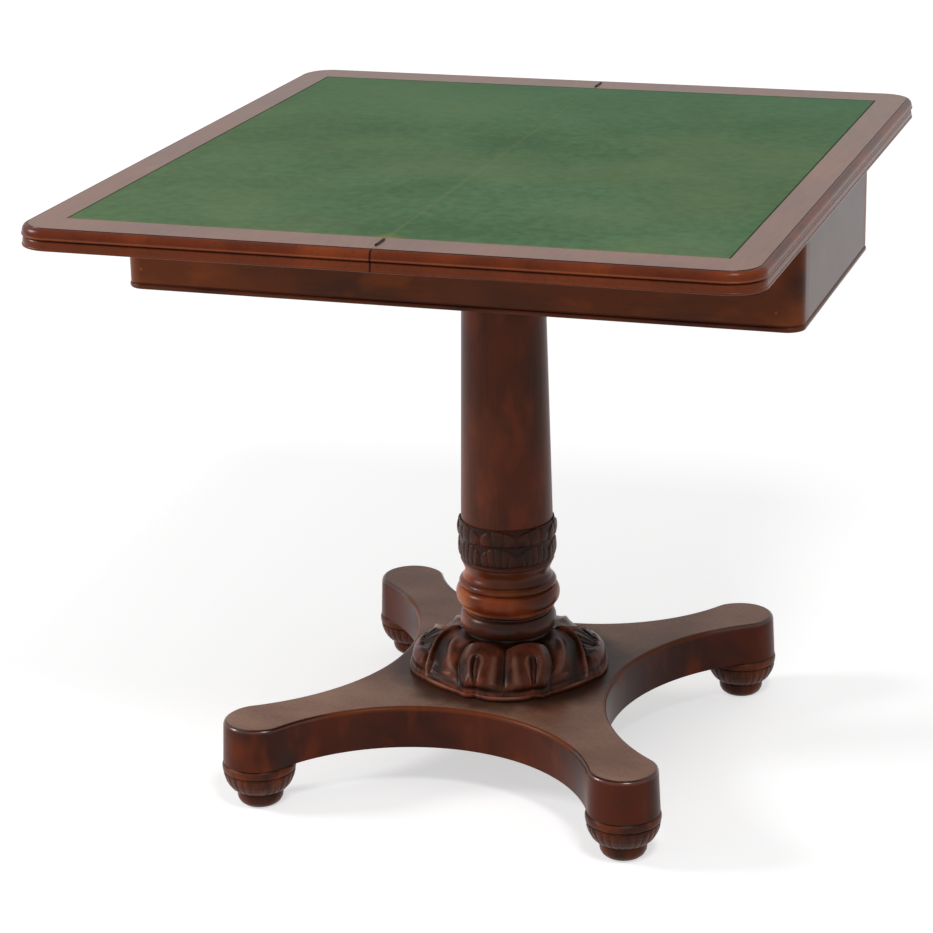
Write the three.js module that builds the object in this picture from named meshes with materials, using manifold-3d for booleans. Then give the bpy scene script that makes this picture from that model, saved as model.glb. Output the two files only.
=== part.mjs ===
// Fold over card table on a turned pedestal, standing open for play.
// Millimetres, +Z up. The origin is on the floor under the column. +X runs along
// the frieze, across the fold, and +Y runs along the fold to the back of the table.
// The right leaf swivels on an iron pivot, the left leaf folds over onto it, and
// closed they lie along the frieze.

import * as THREE from 'three';
import { mergeVertices } from 'three/addons/utils/BufferGeometryUtils.js';
import Module from 'manifold-3d';

const wasm = await Module();
wasm.setup();

// Driving dimensions

// Clearance between two pieces, how far a cutter runs past what it cuts, and how
// near two corners of a shape lie when they are one.
const fitGap = 0.3;
const overrun = 2;
const mergeTolerance = 0.0003;

// The two leaves.
const leafWidth = 405.4;
const leafLength = 906.6;
const leafThickness = 23.7;
const leafCornerRadius = 40;
const meetingGap = 0.6;
const edgeStripWidth = 16;
const edgeFlatInset = 8;
const reedRadius = 4.8;
const reedGrooveDepth = 3;
const sideBandWidth = 43.1;
const endBandWidth = 54.3;
const baizeThickness = 1;

// The brass hinges between the leaves.
const hingeLength = 24;
const hingeInset = 33;
const hingePlateDrop = 14;
const hingePlateThickness = 1.2;
const hingeBarrelRadius = 1.6;
const hingePinRadius = 0.6;
const hingeAxisLift = 0.3;
const hingeScrewSpacing = 12;
const hingeScrewDrop = 9;
const hingeScrewLength = 12;
const hingeScrewRadius = 1.2;
const hingeScrewHeadRadius = 2.4;

// The pivot that the top swivels on.
const pivotFlangeRadius = 32;
const pivotFlangeThickness = 5;
const pivotSpindleRadius = 9;
const pivotSpindleDrop = 42;
const pivotScrewCircleRadius = 22;
const pivotScrewLength = 14;
const pivotScrewRadius = 2;
const pivotScrewHeadRadius = 4;
const pivotWasherRadius = 20;
const pivotWasherThickness = 3;
const pivotNutRadius = 16;
const pivotNutThickness = 10;
const pivotRailWidth = 100;
const pivotRailThickness = 24;

// The frieze box.
const friezeLength = 788;
const friezeDepth = 385.6;
const railHeight = 102;
const railThickness = 20;
const postWidth = 34;
const friezeCornerRadius = 20;
const beadHeight = 7.7;
const beadProud = 2;
const beadWidth = 21;
const wellBoardThickness = 10;
const dividerThickness = 12;
const dividerClearance = 1;
const bearerWidth = 150;
const bearerThickness = 37.7;
const glueBlockWidth = 22;
const glueBlockHeight = 34;

// The column, from the top down.
const shaftLength = 309.4;
const shaftTopRadius = 49.3;
const shaftBottomRadius = 55.6;
const tenonRadius = 28;
const shaftSocketDepth = 30;
const leafCuffHeight = 51;
const leafCuffRadius = 60.8;
const leafCuffNeckRadius = 55.6;
const leafCuffCarvingDepth = 2.4;
const columnFootHeight = 90.9;
const columnFootNeckRadius = 50.9;
const columnFootFilletRadius = 53.8;
const columnFootOvoloRadius = 58.2;
const columnFootTorusRadius = 63;
const columnFootQuirkRadius = 56.5;
const columnFootBeadRadius = 54;
const columnFootWaistRadius = 50.5;
const columnFootRingRadius = 58.4;
const collarHeight = 46.5;
const collarRadius = 121;
const collarTurnDegrees = -23;
const collarPetalDepth = 8;

// The bolt that ties the column together.
const boltRadius = 6;
const boltHeadRadius = 12;
const boltHeadThickness = 8;
const boltNutRadius = 12;
const boltNutThickness = 9;
const boltWasherRadius = 38;
const boltWasherThickness = 3;
const boltEndDrop = 1;
const boltRecessDepth = 16;

// The platform and its feet.
const footSpanX = 450;
const footSpanY = 496;
const platformThickness = 51.7;
const platformWaistX = 276;
const platformWaistY = 305;
const padRadius = 41.5;
const arrisRadius = 5;
const footHeight = 54.7;
const footBeadRadius = 43.6;
const footToeRadius = 27;
const footNeckRadius = 28.5;
const dowelRadius = 12;
const dowelLength = 30;
// The stand is a little askew under the frieze, as it was found.
const standTurnDegrees = -2.7;

// Counts: sides of turned pieces, steps of arcs, leaves and petals of the carving.
const turnedSides = 32;
const footSides = 20;
const smallSides = 8;
const hexSides = 6;
const cornerSteps = 6;
const reedSteps = 4;
const armSteps = 14;
const arrisSteps = 2;
const swellSteps = 6;
const cuffLeaves = 12;
const cuffStepsPerLeaf = 6;
const collarPetals = 8;
const collarStepsPerPetal = 8;

// Heights, stacked up from the floor
const platformBottom = footHeight + fitGap;
const platformTop = platformBottom + platformThickness;
const collarBottom = platformTop + fitGap;
const collarTop = collarBottom + collarHeight;
const columnFootBottom = collarTop + fitGap;
const columnFootTop = columnFootBottom + columnFootHeight;
const cuffBottom = columnFootTop + fitGap;
const cuffTop = cuffBottom + leafCuffHeight;
const shaftBottom = cuffTop + fitGap;
const shaftTop = shaftBottom + shaftLength;
const beadBottom = shaftTop + fitGap;
const railBottom = beadBottom + beadHeight + fitGap;
const railTop = railBottom + railHeight;
const bearerTop = beadBottom + bearerThickness;
const leafBottom = railTop + fitGap;
const leafTop = leafBottom + leafThickness;
const hingeAxisHeight = leafTop + hingeAxisLift;

// Places shared by several pieces
const meetingFace = meetingGap / 2;
const tenonBoreRadius = tenonRadius + fitGap;
const boltBoreRadius = boltRadius + fitGap;
// Swung a quarter turn about this point, the right leaf comes to lie centred on the frieze.
const pivotX = leafWidth / 4;
const pivotY = leafWidth / 4;
const hingeCentreY = leafLength / 2 - hingeInset;
const railInnerX = friezeLength / 2 - railThickness;
const railInnerY = friezeDepth / 2 - railThickness;

// Finishes, one per kind of surface
const finishes = {
  polishedTop: { color: 0x6b3a26, roughness: 0.3, metalness: 0 },
  polishedDark: { color: 0x4a2418, roughness: 0.35, metalness: 0 },
  polishedRed: { color: 0x8a4320, roughness: 0.3, metalness: 0 },
  rawPine: { color: 0xb08d5c, roughness: 0.8, metalness: 0 },
  baize: { color: 0x4f7347, roughness: 1, metalness: 0 },
  brass: { color: 0x8f6b32, roughness: 0.4, metalness: 1 },
  iron: { color: 0x4b4a48, roughness: 0.5, metalness: 1 },
};

const table = new THREE.Group();
const stand = new THREE.Group();
stand.rotation.z = THREE.MathUtils.degToRad(standTurnDegrees);
table.add(stand);

// Shape helpers

function solidOf(geometry) {
  const bare = geometry.clone();
  bare.deleteAttribute('normal');
  bare.deleteAttribute('uv');
  const merged = mergeVertices(bare, mergeTolerance);
  const mesh = new wasm.Mesh({
    numProp: 3,
    vertProperties: new Float32Array(merged.attributes.position.array),
    triVerts: new Uint32Array(merged.index.array),
  });
  return new wasm.Manifold(mesh);
}

function geometryOf(solid) {
  const mesh = solid.getMesh();
  const geometry = new THREE.BufferGeometry();
  geometry.setAttribute('position', new THREE.BufferAttribute(mesh.vertProperties, 3));
  geometry.setIndex(new THREE.BufferAttribute(mesh.triVerts, 1));
  return geometry;
}

function cutFrom(geometry, cutters) {
  let solid = solidOf(geometry);
  for (const cutter of cutters) {
    solid = solid.subtract(solidOf(cutter));
  }
  return geometryOf(solid);
}

function joined(geometries) {
  let solid = solidOf(geometries[0]);
  for (const geometry of geometries.slice(1)) {
    solid = solid.add(solidOf(geometry));
  }
  return geometryOf(solid);
}

// A box given by its lowest and highest corner.
function block(low, high) {
  const size = high.map((value, axis) => value - low[axis]);
  const box = new THREE.BoxGeometry(...size);
  box.translate(...high.map((value, axis) => (value + low[axis]) / 2));
  return box;
}

// A round bar along Z, between two heights.
function bar(radius, bottom, top, sides, x = 0, y = 0) {
  const cylinder = new THREE.CylinderGeometry(radius, radius, top - bottom, sides);
  cylinder.rotateX(Math.PI / 2);
  cylinder.translate(x, y, (top + bottom) / 2);
  return cylinder;
}

// A round bar along Y, about the axis through x and z.
function crossBar(radius, from, to, x, z) {
  const cylinder = new THREE.CylinderGeometry(radius, radius, to - from, smallSides);
  cylinder.translate(x, (from + to) / 2, z);
  return cylinder;
}

// A turned piece: pairs of radius and height, closed on the axis or on itself.
function turned(profile, sides) {
  const points = profile.map(([radius, height]) => new THREE.Vector2(radius, height));
  const lathe = new THREE.LatheGeometry(points, sides);
  lathe.rotateX(Math.PI / 2);
  return lathe;
}

// The profile of a piece bored through, closed on itself up the bore.
function bored(boreRadius, outside) {
  const bottom = outside[0][1];
  const top = outside[outside.length - 1][1];
  return [[boreRadius, bottom], ...outside, [boreRadius, top], [boreRadius, bottom]];
}

// Points of a half round that stands out from a line, going up.
function halfRound(lineRadius, proudRadius, bottom, top, steps) {
  const points = [];
  for (let step = 0; step <= steps; step += 1) {
    const angle = Math.PI * (step / steps - 1 / 2);
    const radius = lineRadius + (proudRadius - lineRadius) * Math.cos(angle);
    points.push([radius, (top + bottom) / 2 + (top - bottom) / 2 * Math.sin(angle)]);
  }
  return points;
}

// The same shape on the other side of the fold.
function mirrored(geometry) {
  const twin = geometry.clone();
  twin.scale(-1, 1, 1);
  const corners = twin.index.array;
  for (let first = 0; first < corners.length; first += 3) {
    [corners[first], corners[first + 1]] = [corners[first + 1], corners[first]];
  }
  return twin;
}

// A grid of points closed both ways round, such as a carved ring.
function ringGrid(columns, rows, place) {
  const points = [];
  const faces = [];
  for (let column = 0; column < columns; column += 1) {
    for (let row = 0; row < rows; row += 1) {
      points.push(...place(column, row));
      const nextColumn = (column + 1) % columns;
      const nextRow = (row + 1) % rows;
      const corners = [[column, row], [nextColumn, row], [nextColumn, nextRow], [column, nextRow]];
      const [a, b, c, d] = corners.map(([across, along]) => across * rows + along);
      faces.push(a, b, c, a, c, d);
    }
  }
  const geometry = new THREE.BufferGeometry();
  geometry.setAttribute('position', new THREE.Float32BufferAttribute(points, 3));
  geometry.setIndex(faces);
  return geometry;
}

// A moulding swept along stations, each a point with its outward normal.
// The profile's points are distances in from the outer edge, and heights.
function moulding(profile, stations) {
  const points = [];
  const faces = [];
  const rows = profile.length;
  for (const station of stations) {
    for (const [inward, height] of profile) {
      points.push(station.x - station.nx * inward, station.y - station.ny * inward, height);
    }
  }
  stations.slice(1).forEach((_, span) => {
    for (let row = 0; row < rows; row += 1) {
      const a = span * rows + row;
      const b = span * rows + (row + 1) % rows;
      faces.push(a, a + rows, b + rows, a, b + rows, b);
    }
  });
  const outline = profile.map(([inward, height]) => new THREE.Vector2(inward, height));
  const turn = Math.sign(THREE.ShapeUtils.area(outline));
  const last = (stations.length - 1) * rows;
  for (const corners of THREE.ShapeUtils.triangulateShape(outline, [])) {
    const sameTurn = turn * THREE.ShapeUtils.area(corners.map((corner) => outline[corner])) > 0;
    const [a, b, c] = sameTurn ? corners : [...corners].reverse();
    faces.push(a, b, c);
    faces.push(last + a, last + c, last + b);
  }
  const geometry = new THREE.BufferGeometry();
  geometry.setAttribute('position', new THREE.Float32BufferAttribute(points, 3));
  geometry.setIndex(faces);
  return solidOf(geometry).volume() > 0 ? geometry : flipped(geometry);
}

function flipped(geometry) {
  const corners = geometry.index.array;
  for (let first = 0; first < corners.length; first += 3) {
    [corners[first], corners[first + 1]] = [corners[first + 1], corners[first]];
  }
  return geometry;
}

// Stations round an arc of a corner.
function cornerStations(x, y, radius, fromAngle, toAngle) {
  const stations = [];
  for (let step = 0; step <= cornerSteps; step += 1) {
    const angle = fromAngle + (toAngle - fromAngle) * (step / cornerSteps);
    const nx = Math.cos(angle);
    const ny = Math.sin(angle);
    stations.push({ x: x + nx * radius, y: y + ny * radius, nx, ny });
  }
  return stations;
}

function addPiece(name, geometry, finish, group = table) {
  const plain = geometry.index ? geometry.toNonIndexed() : geometry;
  plain.computeVertexNormals();
  const mesh = new THREE.Mesh(plain, new THREE.MeshStandardMaterial(finish));
  mesh.name = name;
  group.add(mesh);
}

// A countersunk wood screw with its point up Z from the face that it is let into.
function woodScrew(radius, headRadius, length, sides) {
  const countersink = headRadius - radius;
  const pointStart = length - 2 * radius;
  const profile = [[0, 0], [headRadius, 0], [radius, countersink], [radius, pointStart], [0, length]];
  return turned(profile, sides);
}

// The hole that such a screw leaves in what it holds.
function screwHole(radius, headRadius, length, sides) {
  const countersink = headRadius - radius;
  const wide = radius + fitGap;
  const profile = [
    [0, -overrun],
    [headRadius + fitGap, -overrun],
    [headRadius + fitGap, fitGap],
    [wide, countersink + fitGap],
    [wide, length + fitGap],
    [0, length + fitGap],
  ];
  return turned(profile, sides);
}

// Leaves: a veneered board let in for the baize, with a reeded strip round three sides
const boardHalfLength = leafLength / 2 - edgeStripWidth - fitGap;
const boardWidth = leafWidth - edgeStripWidth - fitGap;
const boardCornerRadius = leafCornerRadius - edgeStripWidth - fitGap;
const baizeWidth = leafWidth - sideBandWidth - meetingFace;
const baizeHalfLength = leafLength / 2 - endBandWidth;
const recessFloor = leafTop - baizeThickness - fitGap;

function boardOutline() {
  const outline = new THREE.Shape();
  const turnX = boardWidth - boardCornerRadius;
  const turnY = boardHalfLength - boardCornerRadius;
  outline.moveTo(meetingFace, -boardHalfLength);
  outline.lineTo(turnX, -boardHalfLength);
  outline.absarc(turnX, -turnY, boardCornerRadius, -Math.PI / 2, 0, false);
  outline.absarc(turnX, turnY, boardCornerRadius, 0, Math.PI / 2, false);
  outline.lineTo(meetingFace, boardHalfLength);
  outline.closePath();
  return outline;
}

function hingeMortises() {
  const cutters = [];
  for (const side of [-1, 1]) {
    const from = side * hingeCentreY - hingeLength / 2 - fitGap;
    const to = side * hingeCentreY + hingeLength / 2 + fitGap;
    const back = meetingFace + hingePlateThickness + fitGap;
    cutters.push(block(
      [-overrun, from, hingeAxisHeight - hingePlateDrop - fitGap],
      [back, to, leafTop + overrun],
    ));
    cutters.push(crossBar(hingeBarrelRadius + fitGap, from, to, 0, hingeAxisHeight));
    for (const place of hingeScrewPlaces(side * hingeCentreY)) {
      cutters.push(place.hole);
    }
  }
  return cutters;
}

// The two screws of one hinge plate, running into the leaf along X.
function hingeScrewPlaces(centreY) {
  return [-1, 1].map((side) => {
    const y = centreY + side * hingeScrewSpacing / 2;
    const height = hingeAxisHeight - hingeScrewDrop;
    const shapes = [woodScrew, screwHole].map((make) => {
      const shape = make(hingeScrewRadius, hingeScrewHeadRadius, hingeScrewLength, smallSides);
      shape.rotateY(Math.PI / 2);
      shape.translate(meetingFace, y, height);
      return shape;
    });
    return { screw: shapes[0], hole: shapes[1] };
  });
}

function leafBoard(moreCutters) {
  const board = new THREE.ExtrudeGeometry(boardOutline(), {
    depth: leafThickness,
    bevelEnabled: false,
    curveSegments: cornerSteps,
  });
  board.translate(0, 0, leafBottom);
  const recess = block(
    [-overrun, -baizeHalfLength - fitGap, recessFloor],
    [meetingFace + baizeWidth + fitGap, baizeHalfLength + fitGap, leafTop + overrun],
  );
  return cutFrom(board, [recess, ...hingeMortises(), ...moreCutters]);
}

// Two half round reeds with a groove between them, under a rolled top arris.
function reededProfile() {
  const middle = leafBottom + leafThickness / 2;
  const points = [[edgeStripWidth, leafBottom], [edgeFlatInset / 2, leafBottom]];
  for (const reedCentre of [middle - reedRadius, middle + reedRadius]) {
    for (let step = 0; step <= reedSteps; step += 1) {
      const angle = Math.PI * (step / reedSteps - 1 / 2);
      const inward = reedGrooveDepth - reedGrooveDepth * Math.cos(angle);
      if (reedCentre < middle || step > 0) {
        points.push([inward, reedCentre + reedRadius * Math.sin(angle)]);
      }
    }
  }
  points.push([edgeFlatInset, leafTop], [edgeStripWidth, leafTop]);
  return points;
}

function reededStrip() {
  const turnX = leafWidth - leafCornerRadius;
  const turnY = leafLength / 2 - leafCornerRadius;
  const stations = [
    { x: meetingFace, y: -leafLength / 2, nx: 0, ny: -1 },
    ...cornerStations(turnX, -turnY, leafCornerRadius, -Math.PI / 2, 0),
    ...cornerStations(turnX, turnY, leafCornerRadius, 0, Math.PI / 2),
    { x: meetingFace, y: leafLength / 2, nx: 0, ny: 1 },
  ];
  return moulding(reededProfile(), stations);
}

// The pivot's flange and its screws are let into the underside of the right leaf.
const flangeTop = leafBottom + pivotFlangeThickness;
const pivotScrewAngles = [1, 3, 5, 7].map((eighth) => eighth * Math.PI / 4);

function pivotScrewPlaces() {
  return pivotScrewAngles.map((angle) => {
    const x = pivotX + pivotScrewCircleRadius * Math.cos(angle);
    const y = pivotY + pivotScrewCircleRadius * Math.sin(angle);
    const shapes = [woodScrew, screwHole].map((make) => {
      const shape = make(pivotScrewRadius, pivotScrewHeadRadius, pivotScrewLength, smallSides);
      shape.translate(x, y, leafBottom);
      return shape;
    });
    return { screw: shapes[0], hole: shapes[1] };
  });
}

const pivotRecess = bar(
  pivotFlangeRadius + fitGap,
  leafBottom - overrun,
  flangeTop + fitGap,
  turnedSides,
  pivotX,
  pivotY,
);
const pivotScrews = pivotScrewPlaces();

addPiece(
  'base_leaf_board',
  leafBoard([pivotRecess, ...pivotScrews.map((place) => place.hole)]),
  finishes.polishedTop,
);
addPiece('flap_leaf_board', mirrored(leafBoard([])), finishes.polishedTop);
addPiece('base_leaf_reeded_edge', reededStrip(), finishes.polishedRed);
addPiece('flap_leaf_reeded_edge', mirrored(reededStrip()), finishes.polishedRed);

const baizeSheet = block(
  [meetingFace, -baizeHalfLength, leafTop - baizeThickness],
  [meetingFace + baizeWidth, baizeHalfLength, leafTop],
);
addPiece('base_leaf_baize', baizeSheet, finishes.baize);
addPiece('flap_leaf_baize', mirrored(baizeSheet), finishes.baize);

// Hinges: a plate let into each meeting face, their knuckles on one pin at the surface
function hingeHalf(centreY, knuckles, clearings) {
  const plate = block(
    [meetingFace, centreY - hingeLength / 2, hingeAxisHeight - hingePlateDrop],
    [meetingFace + hingePlateThickness, centreY + hingeLength / 2, hingeAxisHeight],
  );
  const barrels = knuckles.map(([from, to]) => (
    crossBar(hingeBarrelRadius, centreY + from, centreY + to, 0, hingeAxisHeight)
  ));
  const gaps = clearings.map(([from, to]) => (
    crossBar(hingeBarrelRadius + fitGap, centreY + from, centreY + to, 0, hingeAxisHeight)
  ));
  const pinFrom = centreY - hingeLength / 2 - overrun;
  const pinTo = centreY + hingeLength / 2 + overrun;
  const pinBore = crossBar(hingePinRadius + fitGap, pinFrom, pinTo, 0, hingeAxisHeight);
  const holes = hingeScrewPlaces(centreY).map((place) => place.hole);
  return cutFrom(joined([plate, ...barrels]), [...gaps, pinBore, ...holes]);
}

const hingeEnd = hingeLength / 2;
const knuckleEnd = hingeLength / 6;
const outerKnuckles = [[-hingeEnd, -knuckleEnd - fitGap / 2], [knuckleEnd + fitGap / 2, hingeEnd]];
const middleKnuckle = [[-knuckleEnd + fitGap / 2, knuckleEnd - fitGap / 2]];
const middleClearing = [[-knuckleEnd - fitGap / 2, knuckleEnd + fitGap / 2]];
const outerClearings = [
  [-hingeEnd - overrun, -knuckleEnd + fitGap / 2],
  [knuckleEnd - fitGap / 2, hingeEnd + overrun],
];

for (const [place, side] of [['front', -1], ['back', 1]]) {
  const centreY = side * hingeCentreY;
  const basePlate = hingeHalf(centreY, outerKnuckles, middleClearing);
  const flapPlate = mirrored(hingeHalf(centreY, middleKnuckle, outerClearings));
  const pin = crossBar(hingePinRadius, centreY - hingeEnd, centreY + hingeEnd, 0, hingeAxisHeight);
  addPiece(`${place}_hinge_base_plate`, basePlate, finishes.brass);
  addPiece(`${place}_hinge_flap_plate`, flapPlate, finishes.brass);
  addPiece(`${place}_hinge_pin`, pin, finishes.brass);
  hingeScrewPlaces(centreY).forEach(({ screw }, index) => {
    addPiece(`${place}_hinge_base_screw_${index + 1}`, screw, finishes.brass);
    addPiece(`${place}_hinge_flap_screw_${index + 1}`, mirrored(screw), finishes.brass);
  });
}

// Pivot: a flanged iron spindle down through the pivot rail, held by a washer and nut
const pivotRailTop = railTop - fitGap;
const pivotRailBottom = pivotRailTop - pivotRailThickness;
const spindleEnd = leafBottom - pivotSpindleDrop;
const washerTop = pivotRailBottom - fitGap;
const washerBottom = washerTop - pivotWasherThickness;
const nutTop = washerBottom - fitGap;
const nutBottom = nutTop - pivotNutThickness;

function pivotSpindle() {
  const flange = bar(pivotFlangeRadius, leafBottom, flangeTop, turnedSides, pivotX, pivotY);
  const stem = bar(pivotSpindleRadius, spindleEnd, flangeTop, footSides, pivotX, pivotY);
  return cutFrom(joined([flange, stem]), pivotScrews.map((place) => place.hole));
}

function pivotRing(radius, bottom, top, sides) {
  const ring = bar(radius, bottom, top, sides, pivotX, pivotY);
  const bore = bar(pivotSpindleRadius + fitGap, bottom - overrun, top + overrun, footSides, pivotX, pivotY);
  return cutFrom(ring, [bore]);
}

addPiece('pivot_spindle', pivotSpindle(), finishes.iron);
pivotScrews.forEach(({ screw }, index) => addPiece(`pivot_screw_${index + 1}`, screw, finishes.iron));
addPiece('pivot_washer', pivotRing(pivotWasherRadius, washerBottom, washerTop, footSides), finishes.iron);
addPiece('pivot_nut', pivotRing(pivotNutRadius, nutBottom, nutTop, hexSides), finishes.iron);

// Frieze: four rails between rounded corner posts, on a bead
const postInnerX = friezeLength / 2 - postWidth;
const postInnerY = friezeDepth / 2 - postWidth;

function cornerPost(sideX, sideY) {
  const outline = new THREE.Shape();
  const turnX = friezeLength / 2 - friezeCornerRadius;
  const turnY = friezeDepth / 2 - friezeCornerRadius;
  outline.moveTo(postInnerX, postInnerY);
  outline.lineTo(friezeLength / 2, postInnerY);
  outline.absarc(turnX, turnY, friezeCornerRadius, 0, Math.PI / 2, false);
  outline.lineTo(postInnerX, friezeDepth / 2);
  outline.closePath();
  let post = new THREE.ExtrudeGeometry(outline, {
    depth: railHeight,
    bevelEnabled: false,
    curveSegments: cornerSteps,
  });
  post.translate(0, 0, railBottom);
  post = geometryOf(solidOf(post));
  if (sideY < 0) {
    post = mirrored(post);
    post.rotateZ(Math.PI);
  }
  return sideX < 0 ? mirrored(post) : post;
}

for (const [placeY, sideY] of [['front', -1], ['back', 1]]) {
  const inner = sideY * railInnerY;
  const outer = sideY * friezeDepth / 2;
  const railEnd = postInnerX - fitGap;
  const rail = block(
    [-railEnd, Math.min(inner, outer), railBottom],
    [railEnd, Math.max(inner, outer), railTop],
  );
  addPiece(`${placeY}_rail`, rail, finishes.polishedDark);
  for (const [placeX, sideX] of [['left', -1], ['right', 1]]) {
    addPiece(`${placeY}_${placeX}_post`, cornerPost(sideX, sideY), finishes.polishedDark);
  }
}

for (const [place, side] of [['left', -1], ['right', 1]]) {
  const inner = side * railInnerX;
  const outer = side * friezeLength / 2;
  const railEnd = postInnerY - fitGap;
  const rail = block(
    [Math.min(inner, outer), -railEnd, railBottom],
    [Math.max(inner, outer), railEnd, railTop],
  );
  addPiece(`${place}_rail`, rail, finishes.polishedDark);
}

// The bead under the rails, in four lengths mitred at the corners.
const beadRadius = friezeCornerRadius + beadProud;
const beadProfile = [
  [beadWidth, beadBottom],
  [beadProud, beadBottom],
  [beadProud / 4, beadBottom + beadHeight / 4],
  [0, beadBottom + beadHeight / 2],
  [beadProud / 4, beadBottom + beadHeight * 3 / 4],
  [beadProud, beadBottom + beadHeight],
  [beadWidth, beadBottom + beadHeight],
];

function beadLength(halfRun, offset, quarterTurns) {
  const run = halfRun - friezeCornerRadius;
  const line = offset - friezeCornerRadius;
  const mitre = Math.PI / 4 - Math.asin(fitGap / beadRadius);
  const facing = -Math.PI / 2;
  const stations = [
    ...cornerStations(-run, -line, beadRadius, facing - mitre, facing),
    ...cornerStations(run, -line, beadRadius, facing, facing + mitre),
  ];
  const length = moulding(beadProfile, stations);
  length.rotateZ(quarterTurns * Math.PI / 2);
  return length;
}

const beadRuns = [
  ['front', friezeLength / 2, friezeDepth / 2],
  ['right', friezeDepth / 2, friezeLength / 2],
  ['back', friezeLength / 2, friezeDepth / 2],
  ['left', friezeDepth / 2, friezeLength / 2],
];
beadRuns.forEach(([place, halfRun, offset], quarterTurns) => {
  addPiece(`${place}_bead`, beadLength(halfRun, offset, quarterTurns), finishes.polishedRed);
});

// Inside the frieze: the card well, the pivot rail and the bearer on the column
const innerHalfDepth = railInnerY - fitGap;
const dividerRight = -bearerWidth / 2 - dividerClearance;
const dividerLeft = dividerRight - dividerThickness;

const wellBoard = block(
  [-railInnerX + fitGap, -innerHalfDepth, railBottom],
  [dividerLeft - fitGap, innerHalfDepth, railBottom + wellBoardThickness],
);
const postNotches = [-1, 1].map((side) => {
  const near = side * (postInnerY - fitGap);
  const far = side * (friezeDepth / 2 + overrun);
  return block(
    [-friezeLength / 2 - overrun, Math.min(near, far), railBottom - overrun],
    [-postInnerX + fitGap, Math.max(near, far), railTop + overrun],
  );
});
addPiece('well_board', cutFrom(wellBoard, postNotches), finishes.rawPine);

const divider = block(
  [dividerLeft, -innerHalfDepth, railBottom],
  [dividerRight, innerHalfDepth, railTop - fitGap],
);
addPiece('well_divider', divider, finishes.rawPine);

const pivotRail = block(
  [pivotX - pivotRailWidth / 2, -innerHalfDepth, pivotRailBottom],
  [pivotX + pivotRailWidth / 2, innerHalfDepth, pivotRailTop],
);
const pivotBore = bar(
  pivotSpindleRadius + fitGap,
  pivotRailBottom - overrun,
  pivotRailTop + overrun,
  footSides,
  pivotX,
  pivotY,
);
addPiece('pivot_rail', cutFrom(pivotRail, [pivotBore]), finishes.rawPine);

const bearer = block(
  [-bearerWidth / 2, -innerHalfDepth, beadBottom],
  [bearerWidth / 2, innerHalfDepth, bearerTop],
);
const bearerBore = bar(tenonBoreRadius, beadBottom - overrun, bearerTop + overrun, turnedSides);
const bearerInBead = [-1, 1].map((side) => {
  const near = side * (friezeDepth / 2 + beadProud - beadWidth - fitGap);
  const far = side * (friezeDepth / 2 + overrun);
  return block(
    [-bearerWidth / 2 - overrun, Math.min(near, far), beadBottom - overrun],
    [bearerWidth / 2 + overrun, Math.max(near, far), railBottom],
  );
});
addPiece('column_bearer', cutFrom(bearer, [bearerBore, ...bearerInBead]), finishes.rawPine);

for (const [placeY, sideY] of [['front', -1], ['back', 1]]) {
  for (const [placeX, sideX] of [['left', -1], ['right', 1]]) {
    const outerX = sideX * bearerWidth / 2;
    const innerX = outerX - sideX * glueBlockWidth;
    const outerY = sideY * innerHalfDepth;
    const innerY = outerY - sideY * glueBlockWidth;
    const glueBlock = block(
      [Math.min(innerX, outerX), Math.min(innerY, outerY), bearerTop + fitGap],
      [Math.max(innerX, outerX), Math.max(innerY, outerY), bearerTop + fitGap + glueBlockHeight],
    );
    addPiece(`${placeY}_${placeX}_glue_block`, glueBlock, finishes.rawPine);
  }
}

// Column: a tapered shaft, a cuff of carved leaves, a moulded foot and a petal collar
const shaftTenonTop = bearerTop;
const shaftTenonBottom = cuffBottom - shaftSocketDepth;
const shaftProfile = bored(boltBoreRadius, [
  [tenonRadius, shaftTenonBottom],
  [tenonRadius, shaftBottom],
  [shaftBottomRadius, shaftBottom],
  [shaftTopRadius, shaftTop],
  [tenonRadius, shaftTop],
  [tenonRadius, shaftTenonTop],
]);
addPiece('column_shaft', turned(shaftProfile, turnedSides), finishes.polishedDark);

// Radius and height of the cuff's outside, from its foot to its scalloped top edge.
const cuffShares = [
  [0, 0],
  [0.4, 0.1],
  [0.75, 0.24],
  [0.8, 0.34],
  [0.65, 0.49],
  [0.85, 0.62],
  [1, 0.77],
  [0.9, 0.9],
  [0.55, 1],
];
const cuffScallopShare = 0.16;

function leafCuff() {
  const rows = cuffShares.length + 2;
  const columns = cuffLeaves * cuffStepsPerLeaf;
  return ringGrid(columns, rows, (column, row) => {
    const angle = 2 * Math.PI * column / columns;
    const lobe = Math.abs(Math.cos(angle * cuffLeaves / 2));
    let radius = tenonBoreRadius;
    let height = row === 0 ? cuffBottom : cuffTop;
    if (row > 0 && row <= cuffShares.length) {
      const [outShare, upShare] = cuffShares[row - 1];
      const carving = leafCuffCarvingDepth * (1 - lobe) * Math.sin(Math.PI * upShare);
      radius = leafCuffNeckRadius + (leafCuffRadius - leafCuffNeckRadius) * outShare - carving;
      const scallop = leafCuffHeight * cuffScallopShare * (1 - lobe) * Math.max(0, upShare - 1 / 2);
      height = cuffBottom + leafCuffHeight * upShare - scallop;
    }
    return [radius * Math.cos(angle), radius * Math.sin(angle), height];
  });
}
addPiece('column_leaf_cuff', leafCuff(), finishes.polishedDark);

// Heights up the foot where its mouldings meet, as shares of its height.
const footMemberShares = {
  ringBottom: 0.035, ringTop: 0.3, waist: 0.325, beadTop: 0.385, torusBottom: 0.415,
  torusTop: 0.655, ovoloTop: 0.765, filletTop: 0.79, neck: 0.855,
};

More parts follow.
